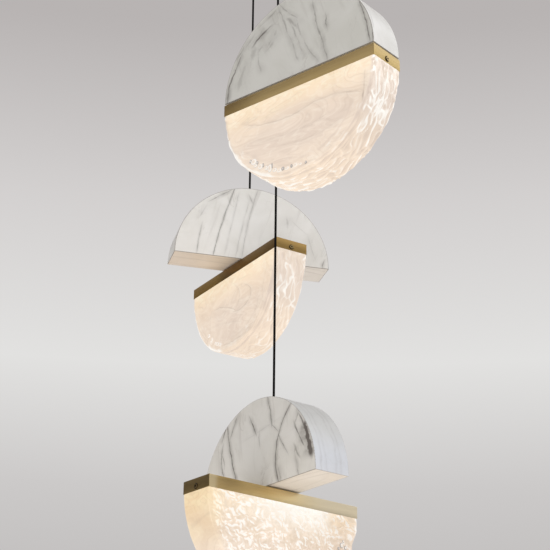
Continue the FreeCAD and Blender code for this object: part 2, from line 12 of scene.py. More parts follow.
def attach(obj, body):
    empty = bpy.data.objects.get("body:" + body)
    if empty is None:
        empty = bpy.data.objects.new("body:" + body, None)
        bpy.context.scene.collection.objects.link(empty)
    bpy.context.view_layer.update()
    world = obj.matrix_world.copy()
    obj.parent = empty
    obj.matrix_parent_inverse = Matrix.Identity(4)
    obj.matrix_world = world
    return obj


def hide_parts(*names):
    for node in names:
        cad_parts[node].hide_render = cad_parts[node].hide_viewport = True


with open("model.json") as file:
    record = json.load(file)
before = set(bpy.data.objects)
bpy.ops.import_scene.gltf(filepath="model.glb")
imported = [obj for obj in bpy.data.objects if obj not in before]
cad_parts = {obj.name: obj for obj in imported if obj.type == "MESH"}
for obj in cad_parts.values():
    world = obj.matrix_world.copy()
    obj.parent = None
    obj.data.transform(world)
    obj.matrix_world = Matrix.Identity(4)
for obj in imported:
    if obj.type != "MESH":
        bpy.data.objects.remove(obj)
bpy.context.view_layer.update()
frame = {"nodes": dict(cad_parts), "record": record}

NODES = frame["nodes"]
RECORD = frame["record"]
SCENE = bpy.context.scene
MM = 0.001

# Drop sizes in millimetres, in each drop's own frame: Z is zero on top of the channel, X runs along the disc,
# and -Y is the side that faces the camera.
DISC_RADIUS = 150
HALF_DEPTH = 33
STONE_RADIUS = 149.5
STONE_HALF_DEPTH = 32.5
STONE_LOW = 3
STONE_WALL = 10
STONE_ARRIS = 0.4
JOINT_BAND = 1.3
SLAB_MIDDLE = 0.42 * STONE_RADIUS
# Slab section: how far in from the edge, how deep, and whether the glue joint shows there.
SLAB_SECTION = ((JOINT_BAND, 0, 0), (STONE_ARRIS, 0, 1), (0, STONE_ARRIS, 1), (STONE_WALL, STONE_WALL, 0))
CHANNEL_HEIGHT = 20
CHANNEL_WALL = 2
CHANNEL_EDGE = 0.45
EDGE_MIDDLE = 0.3 * CHANNEL_EDGE
STEM_HOLE = 5.1
SCREW_BELOW_TOP = 13
SCREW_HEAD_RADIUS = 4.7
COVER_SCREW_LEVEL = -15
STUD_OFFSET = 23
STUD_RADII = (0, 2, 2, 1.7, 0)
STUD_LEVELS = (-0.5, -0.5, 2.1, 2.4, 2.4)
STUD_STEPS = 24
GLASS_ROUND = 5.5
GLASS_LIP_ROUND = 3.5
GLASS_STEPS = 300
NECK_HALF_LENGTH = 133
NECK_HALF_WIDTH = 30
NECK_LOW = -21
NECK_TOP = -9
CORD_RADIUS = 2
CORD_TOP = -26
CORD_BELOW_TOP = 25.8
CORD_POINT = 24

SIDES = ("right", "centre", "left")


def by_side(*values):
    """Values of the three drops by name."""
    return dict(zip(SIDES, values))


STONE_HEADING = by_side(39.3, 26.7, 94.8)
GLASS_HEADING = by_side(39.3, 118.5, 21.9)
HINGE = {joint["name"].removesuffix("_swivel"): joint["pos_m"] for joint in RECORD["behaviour"]["joints"]}
ROOT = "fixture"

SENSOR_WIDTH = 36
FOCAL_LENGTH = 97.7
CAMERA_PLACE = (2.272, -0.413, -1.845)
# Turn about the upright, tilt up from straight down, and roll.
CAMERA_TURNS = ((79.7, "Z"), (113.56, "X"), (0.619, "Z"))


def aim_camera():
    """Camera below the lowest drop, looking up along the row, as the photograph was taken."""
    lens = bpy.data.cameras.new("camera")
    lens.sensor_width = SENSOR_WIDTH
    lens.lens = FOCAL_LENGTH
    camera = bpy.data.objects.new("camera", lens)
    SCENE.collection.objects.link(camera)
    turn, tilt, roll = (Matrix.Rotation(math.radians(angle), 4, axis) for angle, axis in CAMERA_TURNS)
    camera.matrix_world = Matrix.Translation(CAMERA_PLACE) @ turn @ tilt @ roll
    SCENE.camera = camera


aim_camera()


# Node helpers


class Signal:
    """Output of a shader node. Arithmetic with it adds Math nodes to its tree."""

    def __init__(self, socket):
        self.socket = socket
        self.tree = socket.id_data

    def calc(self, operation, *others, **settings):
        """One Math node, with this signal as its first input."""
        return put(self.tree, "ShaderNodeMath", 0, dict(enumerate((self, *others))), operation=operation, **settings)

    __add__ = functools.partialmethod(calc, "ADD")
    __sub__ = functools.partialmethod(calc, "SUBTRACT")
    __rsub__ = functools.partialmethod(calc, "MULTIPLY_ADD", -1)
    __mul__ = functools.partialmethod(calc, "MULTIPLY")
    __truediv__ = functools.partialmethod(calc, "DIVIDE")
    __abs__ = functools.partialmethod(calc, "ABSOLUTE")


def feed(node, inputs):
    """Feeds a node. Each input is a number, a colour, a vector or a signal."""
    for key, value in inputs.items():
        socket = node.inputs[key]
        if isinstance(value, Signal):
            node.id_data.links.new(value.socket, socket)
        else:
            socket.default_value = (*value, 1) if socket.type == "RGBA" else value


def put(tree, kind, output, inputs, **settings):
    """Adds a node with its settings and inputs, and gives one of its outputs."""
    node = tree.nodes.new(kind)
    for key, value in settings.items():
        setattr(node, key, value)
    feed(node, inputs)
    return Signal(node.outputs[output])


def strongest(masks):
    """Greatest of several masks."""
    return functools.reduce(lambda one, other: one.calc("MAXIMUM", other), masks)


def ease(value, low, high, start=0, end=1):
    """Smooth step of a value from low to high, as a number from start to end."""
    inputs = {"Value": value, "From Min": low, "From Max": high, "To Min": start, "To Max": end}
    return put(value.tree, "ShaderNodeMapRange", "Result", inputs, interpolation_type="SMOOTHSTEP")


def blend_colour(share, first, second, blend="MIX"):
    """Mix of two colours."""
    tree = next(value.tree for value in (share, first, second) if isinstance(value, Signal))
    return put(tree, "ShaderNodeMix", 2, {0: share, 6: first, 7: second}, data_type="RGBA", blend_type=blend)


def layered(colour, *layers):
    """A colour with others laid over it in turn, each with its share and, where given, its way of blending."""
    for share, other, *way in layers:
        colour = blend_colour(share, colour, other, *way)
    return colour


def ramp(share, stops):
    """Colour ramp with the stops (place, colour)."""
    node = share.tree.nodes.new("ShaderNodeValToRGB")
    feed(node, {"Fac": share})
    elements = node.color_ramp.elements
    while len(elements) < len(stops):
        elements.new(0.5)
    for element, (position, colour) in zip(elements, stops):
        element.position = position
        element.color = (*colour, 1)
    return Signal(node.outputs["Color"])


def noise(position, scale, detail=2, roughness=0.5, distortion=0):
    """Layered noise from 0 to 1."""
    inputs = {"Vector": position, "Scale": scale, "Detail": detail, "Roughness": roughness, "Distortion": distortion}
    return put(position.tree, "ShaderNodeTexNoise", "Fac", inputs)


def stretch(position, scale):
    """Position times a scale along each axis."""
    return put(position.tree, "ShaderNodeVectorMath", "Vector", {0: position, 1: scale}, operation="MULTIPLY")


def split(position):
    """X, Y and Z of a position."""
    node = position.tree.nodes.new("ShaderNodeSeparateXYZ")
    feed(node, {0: position})
    return [Signal(socket) for socket in node.outputs]


def gather(x, y, z):
    """Position with the given X, Y and Z."""
    return put(x.tree, "ShaderNodeCombineXYZ", "Vector", {0: x, 1: y, 2: z})


def carry(position, place, turn, unit):
    """Position seen in a frame with its own place, turn and unit lengths."""
    inputs = {"Vector": position, "Location": place, "Rotation": turn, "Scale": unit}
    return put(position.tree, "ShaderNodeMapping", "Vector", inputs, vector_type="TEXTURE")


def object_place(shader):
    """Object coordinates."""
    return put(shader.id_data, "ShaderNodeTexCoord", "Object", {})


def own_frame(shader, hinge=(0, 0, 0), heading=0, tip=0):
    """Object coordinates carried into a drop's own frame, in millimetres."""
    return carry(object_place(shader), hinge, (math.radians(tip), 0, math.radians(heading)), (MM, MM, MM))


def painted(shader, field):
    """Value that a mesh carries at its points."""
    return put(shader.id_data, "ShaderNodeAttribute", "Fac", {}, attribute_name=field)


def new_group(name, numbers, masks):
    """Empty shader node group that takes a position and named numbers and gives named masks. Returns the node that
    takes the masks, then the position and the numbers."""
    tree = bpy.data.node_groups.new(name, "ShaderNodeTree")
    sockets = [("Position", "INPUT", "Vector"), *((label, "INPUT", "Float") for label in numbers)]
    for label, way, kind in sockets + [(label, "OUTPUT", "Float") for label in masks]:
        tree.interface.new_socket(name=label, in_out=way, socket_type=f"NodeSocket{kind}")
    given = tree.nodes.new("NodeGroupInput").outputs
    return tree.nodes.new("NodeGroupOutput"), *(Signal(given[label]) for label in ("Position", *numbers))


def place_group(group, position, **numbers):
    """Places a node group, feeds it, and gives its masks by name."""
    node = position.tree.nodes.new("ShaderNodeGroup")
    node.node_tree = group
    feed(node, {"Position": position, **numbers})
    return {socket.name: Signal(socket) for socket in node.outputs}


def new_material(name, **sockets):
    """Material with one Principled shader, whose plain values are set on its own sockets."""
    material = bpy.data.materials.new(name)
    material.use_nodes = True
    tree = material.node_tree
    tree.nodes.clear()
    shader = tree.nodes.new("ShaderNodeBsdfPrincipled")
    feed(shader, {key.replace("_", " "): value for key, value in sockets.items()})
    feed(tree.nodes.new("ShaderNodeOutputMaterial"), {"Surface": Signal(shader.outputs["BSDF"])})
    return material, shader


def bump(shader, height, strength, distance):
    """Turns a shader's normal by the slope of a height."""
    inputs = {"Height": height, "Strength": strength, "Distance": distance}
    feed(shader, {"Normal": put(height.tree, "ShaderNodeBump", "Normal", inputs)})


# Shared effects


def make_vein_group():
    """One vein: the line x = start + lean z + bow z squared, made to wander by noise, with a core of uneven width, a
    smoky halo, and ends that fade."""
    made, position, start, lean, bow, low, high, width, wander, breaks = new_group(
        "stone_vein", ("Start", "Lean", "Bow", "Low", "High", "Width", "Wander", "Breaks"), ("Mask",)
    )
    x, _, z = split(position)
    line = (bow * z + lean) * z + start
    wave = noise(position, 0.034, 5, 0.58) - 0.5
    away = abs(x - (line + wave * wander)) / width
    gap = ease(noise(position, 0.055), 0.36, 0.6, 0.85, 0)
    uneven = ease(noise(position, 0.085), 0.3, 0.7, 0.6, 1.7)
    core = ease(away, 0, uneven, 1, 0) * (1 - gap * breaks)
    smoke = ease(noise(position, 0.03, 4, 0.6), 0.36, 0.66, 0.14, 0.5)
    halo = ease(away, 0, 5, 1, 0) * smoke
    ends = ease(z - low, -9, 10) * ease(high - z, -9, 10)
    feed(made, {"Mask": strongest((core, halo)) * ends})
    return made.id_data


def make_stone_ground_group():
    """Ground of the stone: soft clouds, veils drawn out along the lean of the veins, and a sparse net of hair
    veins on the level lines of a warped noise."""
    made, position, lean = new_group("stone_ground", ("Lean",), ("Cloud", "Veil", "Hair"))
    x, y, z = split(position)
    strands = noise(stretch(gather(x - lean * z, y, z), (1, 1, 0.16)), 0.05, 4, 0.6, 0.5)
    cloud = noise(position, 0.014, 4, 0.55, 0.8)
    level = noise(stretch(position, (1, 1, 0.45)), 0.019, 5, 0.6, 1.2)
    thread = ease(abs(level - 0.5), 0, 0.018, 1, 0)
    sparse = ease(noise(position, 0.016, 1), 0.48, 0.66)
    feed(made, {"Cloud": ease(cloud, 0.3, 0.72), "Veil": ease(strands, 0.53, 0.74), "Hair": thread * sparse})
    return made.id_data


def make_brushed_group():
    """Level brush marks: noise drawn out along X and Y, fine in Z, with faint handling marks."""
    made, position = new_group("brushed_metal", (), ("Streak", "Blur"))
    fine = noise(stretch(position, (0.02, 0.02, 2.6)), 1, 3, 0.6)
    broad = noise(stretch(position, (0.012, 0.012, 0.5)), 1)
    feed(made, {"Streak": ease(fine * 0.65 + broad * 0.35, 0.3, 0.7), "Blur": noise(position, 0.03, 4, 0.6)})
    return made.id_data


def make_grain_group():
    """Fine moulded grain with slow cloudy changes of tone."""
    made, position = new_group("moulded_grain", (), ("Grain", "Cloud"))
    feed(made, {"Grain": noise(position, 3, 3, 0.6), "Cloud": noise(position, 0.06, 3)})
    return made.id_data


VEIN = make_vein_group()
STONE_GROUND = make_stone_ground_group()
BRUSHED = make_brushed_group()
GRAIN = make_grain_group()


# Finishes

# Veins of each front slab: low and high end, then where the vein is at the low end, the middle and the high end,
# half width, strength, and how far the vein breaks up along its length.
FRONT_VEINS = {
    "right": (
        (6, 124, 61, 45, 31, 2, 0.65, 0.5), (8, 104, 43, 16, -1, 2.2, 0.42, 0.8),
        (28, 120, 14, -1, -22, 2.2, 0.45, 0.7), (28, 146, 2, -18, -39, 2.6, 0.5, 0.6),
        (106, 150, 0, -21, -38, 2.4, 0.5, 0.6), (60, 125, -96, -82, -62, 9, 0.3, 1),
        (100, 142, -72, -50, -30, 8, 0.32, 1), (20, 70, -122, -113, -100, 7, 0.28, 1),
        (62, 88, 62, 60, 58, 2.2, 0.8, 0.2), (3, 86, 143, 135, 125, 1.5, 1, 0.1),
        (3, 78, 146.5, 147, 129, 1.3, 0.9, 0.3), (90, 112, -90, -77, -54, 6.5, 1.1, 0.2),
        (104, 114, -67, -61, -54, 5, 1, 0.2), (72, 84, -80, -75, -70, 5.5, 0.5, 0.5),
        (77, 88, -61, -56, -50, 4.5, 0.55, 0.4), (94, 110, -105, -97, -89, 5.5, 0.5, 0.5),
        (79, 96, -124, -117, -111, 4.5, 0.65, 0.4), (88, 116, 0, -10, -21, 5, 0.5, 0.6),
        (122, 140, -75, -55, -41, 4, 0.6, 0.6), (3, 84, -146, -136, -113, 2.4, 0.95, 0.3),
        (30, 120, -70, -78, -62, 3, 0.35, 1), (70, 122, -62, -44, -56, 6.5, 0.4, 1),
    ),
    "centre": (
        (26, 130, -54, -71.5, -83.5, 1.9, 1, 0.1), (104, 138, -73, -64, -54, 1.9, 0.8, 0.3),
        (40, 98, -88, -97.5, -93.5, 1.5, 0.85, 0.3), (104, 128, -96.5, -91.5, -84.5, 2.4, 0.85, 0.3),
        (94, 126, -3, -11, -20, 2, 1, 0.2), (95, 102, -6, 13, 32, 8, 0.5, 0.3),
        (98, 152, 39, 34, 26, 1.7, 1, 0.1), (84, 102, 56, 47, 37, 1.8, 0.9, 0.2),
        (44, 84, 81, 67, 55, 1.4, 0.75, 0.4), (70, 126, 54, 66, 91, 1.8, 1, 0),
        (2, 82, 58.5, 48.5, 58.5, 1.8, 1, 0), (27, 84, 138, 131, 123, 7, 1.5, 0),
        (28, 66, 139, 134, 127, 7, 1.4, 0), (2, 32, 62.5, 59.5, 54, 3.5, 0.5, 0.3),
        (58, 84, -88.5, -90.5, -99.5, 1.3, 0.6, 0.3), (58, 100, 131, 122, 108, 3, 1, 0.1),
        (44, 90, 123, 108, 96, 2.6, 0.85, 0.3), (32, 52, 109, 103, 97, 3.2, 0.8, 0.2),
        (4, 52, 109, 102, 97, 1.7, 0.7, 0.4), (70, 96, 9, 6, 5, 1.4, 0.5, 0.5),
        (84, 118, 96, 104, 112, 3.4, 0.55, 0.8),
    ),
    "left": (
        (2, 154, -76, -59, -35, 0.8, 1, 0.1), (4, 66, -108, -104, -99, 0.8, 0.8, 0.4),
        (4, 138, -55, -42, -29, 0.9, 0.4, 0.7), (4, 138, -33, -21, -5, 0.9, 0.35, 0.7),
        (4, 152, -21, -10, 8, 1, 0.5, 0.5), (116, 147, -84, -62, -39, 2.6, 0.75, 0.7),
        (122, 136, -2, -5, -8, 2.2, 0.7, 0.3), (80, 106, -104, -97, -91, 2.5, 0.4, 0.6),
        (80, 100, 68, 67, 66, 3, 0.35, 0.7), (70, 92, 106, 92, 79, 2, 0.2, 0.8),
        (22, 68, 122, 114, 108, 1.8, 0.25, 0.8), (4, 18, 137, 137.5, 140, 1.5, 0.95, 0.1),
    ),
}
# Back slabs, rims and base slabs carry quieter veins.
BACK_VEINS = (
    (4, 130, -70, -48, -40, 1.6, 0.85, 0.3), (20, 140, 12, 24, 18, 1.4, 0.7, 0.5),
    (8, 96, 92, 84, 70, 2, 0.9, 0.3), (60, 150, -18, -6, 14, 1.4, 0.6, 0.6),
    (4, 70, -116, -108, -104, 1.2, 0.7, 0.5),
)
STREAKED_RIM = (
    (-40, 190, -23, -20, -24, 0.9, 0.22, 0.9), (-40, 190, -9, -12, -8, 1.1, 0.18, 0.9),
    (-40, 190, 6, 9, 4, 0.9, 0.24, 0.9), (-40, 190, 19, 17, 21, 1.2, 0.2, 0.9),
)
PLAIN_RIM = ((30, 110, -30, -22, -10, 0.9, 0.4, 0.7), (60, 150, 8, 2, 14, 0.9, 0.2, 0.9))
RIM_VEINS = by_side(PLAIN_RIM, STREAKED_RIM, STREAKED_RIM)
RIM_VEIL = by_side(0.1, 0.3, 0.3)
BASE_VEINS = (
    (-150, 40, -26, -24, -28, 0.8, 0.16, 0.9), (20, 160, -30, -27, -18, 0.9, 0.3, 0.8),
    (60, 160, -15, -10, 2, 0.8, 0.28, 0.8), (-150, 10, -8, -4, 2, 0.9, 0.16, 0.9),
    (-40, 120, 12, 16, 12, 0.8, 0.2, 0.9), (-160, -30, 20, 24, 18, 0.9, 0.16, 0.9),
)
FRONT_WANDER = by_side(12, 9, 4)
VEIN_WANDER = 12
BASE_WANDER = 5
# Slabs with painted light and shade of their own: its share, and its colour at the low and at the high end.
STONE_PAINTED_LIGHT = {
    "right_stone_front": (0.42, (0.5, 0.51, 0.46), (0.5, 0.51, 0.46)),
    "centre_stone_front": (0.03, (0.7, 0.75, 0.6), (0.5, 0.55, 0.4)),
    "centre_stone_rim": (0.42, (0.7, 0.8, 1), (0.44, 0.47, 0.5)),
    "centre_stone_base": (0.3, (1, 1, 1), (0.72, 0.68, 0.62)),
    "left_stone_base": (0.3, (0.77, 0.55, 0.33), (1, 1, 1)),
}
NO_PAINTED_LIGHT = (0, (1, 1, 1), (1, 1, 1))
PAINTED_LIGHT_LOW = 20
PAINTED_LIGHT_HIGH = 85
JOINT_SHARE = 0.72
SOFT_JOINTS = {"centre_stone_front": 0.45, "centre_stone_rim": 0.2}
FRONT_LEAN = by_side(-0.4, -0.15, 0.26)
# Colour of brass in painted shade.
SHADED_BRASS = (0.2, 0.115, 0.03)
# Painted highlight beside a corner: where along X it starts, is full, starts to fade and ends.
HIGHLIGHT_BAND = (-149.8, -149, -141, -130)


def lay_veins(position, veins, wander, shift=0):
    """Masks of several veins, each bent through its three places."""
    masks = []
    for low, high, at_low, at_middle, at_high, width, strength, breaks in veins:
        places = (low, (low + high) / 2, high)
        bow, lean, start = np.polyfit(places, (at_low, at_middle, at_high), 2).tolist()
        line = {"Start": start + shift, "Lean": lean, "Bow": bow, "Low": low, "High": high}
        vein = place_group(VEIN, position, **line, Width=width, Wander=wander, Breaks=breaks)
        masks.append(vein["Mask"] * strength)
    return masks


def marble(name, hinge, heading, veins, wander, tip, lean, quiet, tone, joint_share):
    """Honed white marble: warm clouds, grey veins with soft halos, and dark glue lines along the mitred joints. Some
    slabs also carry painted light and shade that changes along their own Z.
    """
    material, shader = new_material(name, IOR=1.5)
    position = own_frame(shader, hinge, heading, tip)
    ground = place_group(STONE_GROUND, position, Lean=lean)
    share, low_painted_light, high_painted_light = tone
    rise = ease(split(position)[2], PAINTED_LIGHT_LOW, PAINTED_LIGHT_HIGH)
    colour = layered(
        blend_colour(ground["Cloud"], (0.9, 0.897, 0.875), (0.815, 0.81, 0.775)),
        # Painted light and shade: a colour that changes along the slab's own Z, standing in for how the light falls
        # on it.
        (share, blend_colour(rise, low_painted_light, high_painted_light)),
        (ground["Veil"] * (0.3 * quiet), (0.5, 0.48, 0.45)),
        (ground["Hair"] * (0.3 * quiet), (0.47, 0.45, 0.42)),
        (strongest(lay_veins(position, veins, wander)), (0.17, 0.152, 0.14)),
        (painted(shader, "joint") * joint_share, (0.2, 0.175, 0.145)),
    )
    feed(shader, {"Base Color": colour, "Roughness": ground["Cloud"] * 0.12 + 0.32})
    return material


def brass(name, hinge, heading, painted_shade=0, painted_light_bands=(), corner=0):
    """Satin brass with level brush marks and a slow change of tone. Painted shade darkens it towards shaded brass,
    bands of painted light and shade change its tone along X, each between two places, and a painted highlight makes a
    bright band beside one corner."""
    material, shader = new_material(name, Metallic=1)
    position = own_frame(shader, hinge, heading)
    marks = place_group(BRUSHED, position)
    streak = marks["Streak"]
    along = split(position)[0]
    start, full, fade, end = HIGHLIGHT_BAND
    # Painted highlight beside one corner.
    band = ease(along, start, full) * ease(along, fade, end, corner, 0)
    colour = layered(
        blend_colour(streak, (0.6, 0.44, 0.19), (0.72, 0.545, 0.27)),
        (marks["Blur"] * 0.22, (0.46, 0.335, 0.14)),
        # Painted shade, then bands of painted light and shade along X, then the painted highlight.
        (painted_shade, SHADED_BRASS),
        *((ease(along, start, full, 0, share), tint) for start, full, share, tint in painted_light_bands),
        (band, (0.86, 0.76, 0.52)),
    )
    feed(shader, {"Base Color": colour, "Roughness": streak * 0.1 + 0.33})
    bump(shader, streak, 0.12, 0.0002)
    return material


def metal(name, dark, light, rough):
    """Plated or mill-finish metal with fine brush marks."""
    material, shader = new_material(name, Metallic=1)
    marks = place_group(BRUSHED, own_frame(shader))
    feed(shader, {"Base Color": blend_colour(marks["Streak"], dark, light), "Roughness": marks["Blur"] * 0.2 + rough})
    return material


def socket_screw(name, axis, heading):
    """Brass button head: painted shade in the socket, the brass colour on the crown and a painted shadow round the
    edge, by distance from the screw's axis.
    """
    material, shader = new_material(name, Metallic=1, Roughness=0.34)
    position = own_frame(shader, axis, heading)
    _, y, z = split(position)
    away = (y * y + z * z).calc("SQRT") / SCREW_HEAD_RADIUS
    dark, light = (0.03, 0.022, 0.012), (0.5, 0.37, 0.17)
    # Painted shade in the socket and painted shadow at the edge, with the brass colour between.
    rings = ramp(away, ((0, dark), (0.34, dark), (0.42, light), (0.62, light), (0.74, dark), (1, dark)))
    feed(shader, {"Base Color": blend_colour(noise(position, 0.8) * 0.2, rings, light)})
    return material


def moulded(name, dark, light, rough, depth):
    """Moulded plastic or rubber with a fine grain."""
    material, shader = new_material(name)
    masks = place_group(GRAIN, own_frame(shader))
    grain = masks["Grain"]
    colour = blend_colour(grain * 0.6 + masks["Cloud"] * 0.4, dark, light)
    feed(shader, {"Base Color": colour, "Roughness": grain * 0.15 + rough})
    bump(shader, grain, depth, 0.0003)
    return material


def braided(name, hinge):
    """Black textile sheath: two sets of threads wound left and right round the cord's axis."""
    material, shader = new_material(name, Roughness=0.85, Specular_IOR_Level=0)
    x, y, z = split(own_frame(shader, hinge, 0))
    round_axis = y.calc("ARCTAN2", x)
    wound = [(round_axis * turns + z * 2.4).calc("SINE") for turns in (6, -6)]
    thread = strongest(wound) * 0.5 + 0.5
    feed(shader, {"Base Color": blend_colour(thread, (0.004, 0.004, 0.004), (0.016, 0.015, 0.015))})
    bump(shader, thread, 0.5, 0.0003)
    return material


# Flow lines in the smooth faces, written like veins: the level ones along X, the upright ones along Z, and those in
# the smooth end along Y.
LEVEL_LINES = {
    "right": (
        (-106, 14, -51, -66, -64, 1.6, 0.8, 0.2), (10, 124, -64, -60, -74, 1.5, 0.75, 0.3),
        (-90, 60, -84, -97, -89, 1.3, 0.45, 0.7), (28, 116, -158, -150, -113, 2.2, 0.6, 0.3),
        (-30, 90, -112, -118, -104, 1.3, 0.35, 0.8), (-110, -10, -70, -80, -78, 1.4, 0.35, 0.8),
    ),
    "centre": ((-100, 40, -60, -74, -66, 1.6, 0.6, 0.4), (-60, 110, -104, -110, -90, 1.6, 0.5, 0.5)),
    "left": (
        (-64, 14, -72, -79, -98.5, 1.5, 0.85, 0.1), (4, 60, -97.5, -99.5, -91, 1.5, 0.85, 0.1),
        (-30, 138, -154, -152, -129, 2.2, 0.6, 0.3), (-70, 30, -104, -112, -126, 1.4, 0.4, 0.6),
    ),
}
UPRIGHT_LINES = {
    "right": ((-122, -44, 123, 128.5, 132, 2.4, 1.5, 0.6),),
    "centre": (),
    "left": (
        (-94, -38, 12, 25, -2, 1.4, 0.55, 0.2), (-94, -56, 56, 66, 44, 1.5, 0.8, 0.1),
        (-135, -72, -58, -80, -77, 1.6, 0.35, 0.5), (-150, -98, 20, 78, 88, 2.4, 0.5, 0.4),
        (-120, -50, 112, 108, 118, 2.2, 0.4, 0.6),
    ),
}
END_LINES = {
    "right": (),
    "centre": ((-44, 24, -56, -64, -72, 6.5, 0.6, 0.3), (-34, 22, -88, -82, -94, 3.5, 0.3, 0.8)),
    "left": (),
}
# Painted shading of the bubbles, from the middle to the edge: face colour, painted highlight, then painted shade.
BEAD_STOPS = (
    (0.34, (0.8, 0.67, 0.55)),
    (0.58, (0.98, 0.93, 0.86)),
    (0.8, (0.5, 0.45, 0.41)),
    (0.95, (0.26, 0.24, 0.23)),
)
LINE_WANDER = 8
LINE_EDGE = 3
SWIRL_DEPTH = 1000
# Glow of the glass from the channel down to the rim.
GLOW_STOPS = (
    (0, (0.95, 0.74, 0.46)),
    (0.08, (0.93, 0.71, 0.46)),
    (0.26, (0.83, 0.645, 0.475)),
    (0.52, (0.75, 0.595, 0.475)),
    (0.84, (0.75, 0.59, 0.465)),
    (1, (0.82, 0.64, 0.48)),
)


def cast_glass(name, hinge, heading, seed, level_lines, upright_lines, end_lines, warm_end, swirl):
    """Lit milky cast glass: glow that falls away from the channel and warms again at the rim, flow lines with a pale
    side in the smooth face, relief with painted highlights on its crests and painted shade in its hollows, and
    bubbles with painted highlights and shade of their own."""
    material, shader = new_material(
        name, IOR=1.5, Roughness=0.22, Coat_Weight=0.5, Coat_Roughness=0.06, Emission_Strength=0.82
    )
    position = own_frame(shader, hinge, heading)
    x, y, z = split(position)
    below = z * -1 - CHANNEL_HEIGHT
    fall = below / DISC_RADIUS
    reach = (x * x + below * below).calc("SQRT") / DISC_RADIUS
    smooth, relief, ice, bead_shading = (painted(shader, field) for field in ("smooth_face", "relief", "ice_face", "bead_shading"))
    rim = (smooth + ice).calc("MULTIPLY_ADD", -1, 1, use_clamp=True)

    offset = (seed * 31, seed * 17, seed * 7)
    shifted = put(position.tree, "ShaderNodeVectorMath", "Vector", {0: position, 1: offset})
    drawn = stretch(shifted, (0.5, 0.5, 1))
    middle_x, middle_z, half_length, half_height, tilt = swirl
    unit = (half_length, SWIRL_DEPTH, half_height)
    oval = carry(position, (middle_x, 0, middle_z), (0, math.radians(tilt), 0), unit)
    ring = put(oval.tree, "ShaderNodeVectorMath", "Value", {0: oval}, operation="LENGTH")
    drift = noise(drawn, 0.014, 2, 0.45, 2)
    flow = ring * 0.14 + drift
    inside = ease(drift * 1.2 + ring, 1.35, 1.85, 1, 0)
    cloud = ease(drift, 0.38, 0.64, 0.35, 1)
    wisp = ease(noise(drawn, 0.06, 3, 0.55, 1.5), 0.5, 0.72)
    streak = ease(noise(drawn, 0.1, 3, 0.6, 1.2), 0.46, 0.64)
    level = (flow * 8).calc("PINGPONG", 0.5)
    dim_line = ease(level, 0, 0.16, 1, 0) * ease(noise(drawn, 0.03, 1), 0.38, 0.6)
    pale_line = ease(level, 0.3, 0.5)

    crosswise, endwise = gather(z, y, x), gather(z, x, y)
    marked = strongest(
        lay_veins(crosswise, level_lines, LINE_WANDER)
        + lay_veins(position, upright_lines, LINE_WANDER)
        + lay_veins(endwise, end_lines, LINE_WANDER)
    )
    beside = strongest(
        lay_veins(crosswise, level_lines, LINE_WANDER, -LINE_EDGE)
        + lay_veins(position, upright_lines, LINE_WANDER, LINE_EDGE)
    )
    hollow_shade = blend_colour(ice, (0.6, 0.475, 0.39), (0.66, 0.52, 0.37))
    inward = ease(x, -110, 0, 0.25, 1) * ease(x, 66, 112, 1, 0)
    warm_tone = blend_colour(cloud, (0.98, 0.8, 0.48), (1, 0.92, 0.6))
    glow = layered(
        ramp(fall, GLOW_STOPS),
        (cloud * 0.24, (0.98, 0.82, 0.63)),
        (inside * smooth * 0.35, (0.7, 0.565, 0.47)),
        (ease(reach, 0.8, 1) * 0.3, (0.95, 0.79, 0.62)),
        (wisp * smooth * 0.3, (1, 0.9, 0.76)),
        (ease(fall, 0.02, 0.3, 0.6, 0) * streak * smooth, (1, 0.9, 0.66)),
        (pale_line * smooth * 0.2, (1, 0.88, 0.72)),
        (beside * smooth * 0.45, (1, 0.92, 0.79)),
        (dim_line * smooth * 0.2, (0.44, 0.33, 0.25)),
        (marked * smooth * 0.62, (0.42, 0.31, 0.23)),
        (ease(fall, 0.35, 0.8, 0.6, 0) * rim, (0.68, 0.575, 0.51)),
        # Painted shade in the hollows of the relief, then painted highlights on its crests.
        (ease(relief, 0.5, 0.1) * (ice * -0.05 + 0.6), hollow_shade),
        (ease(fall, 0, 0.4, 0.85, 0) * ice * inward, (1, 0.96, 0.89)),
        (ease(relief, 0.54, 0.9) * 0.95, (1, 0.97, 0.91)),
        (ease(x, -146, -112, warm_end, 0), warm_tone, "MULTIPLY"),
        (ease(x, 50, 125, 0, 0.65) * ice, (0.78, 0.74, 0.71), "MULTIPLY"),
        # Painted shading of the bubbles.
        (ease(bead_shading, 0.02, 0.15), ramp(bead_shading, BEAD_STOPS)),
    )
    body = blend_colour(cloud, (0.2, 0.19, 0.18), (0.28, 0.265, 0.25))
    feed(shader, {"Emission Color": glow, "Base Color": body})
    bump(shader, flow, 0.25, 0.004)
    return material


# Mesh helpers

# Points nearer than this, in metres, are one point, and edges shorter than this are dropped.
SAME_POINT = 1e-6
SHORTEST_EDGE = 1e-7


def grid_quads(rows, columns, close_rows=False, close_columns=False):
    """Corner numbers of the quads between neighbouring rows and columns of a grid."""
    row, column = np.meshgrid(
        np.arange(rows if close_rows else rows - 1),
        np.arange(columns if close_columns else columns - 1),
        indexing="ij",
    )
    next_row, next_column = (row + 1) % rows, (column + 1) % columns
    corners = ((row, column), (row, next_column), (next_row, next_column), (next_row, column))
    return np.stack([at_row * columns + at_column for at_row, at_column in corners], -1).reshape(-1, 4)


def full_turn(steps):
    """Angles of one full turn, each once."""
    return np.linspace(0, 2 * math.pi, steps, endpoint=False)


def stacked(rings):
    """Points of flat outlines, each at its own level."""
    return np.stack([np.concatenate([line, np.full((len(line), 1), level)], 1) for line, level in rings])


def turned(radius, level, angle):
    """Surface turned about Z: a profile of radii and levels carried through the angles."""
    radius, level = np.array(radius, float)[:, None], np.array(level, float)[:, None]
    return np.stack([radius * np.cos(angle), radius * np.sin(angle), level + 0 * angle], -1)


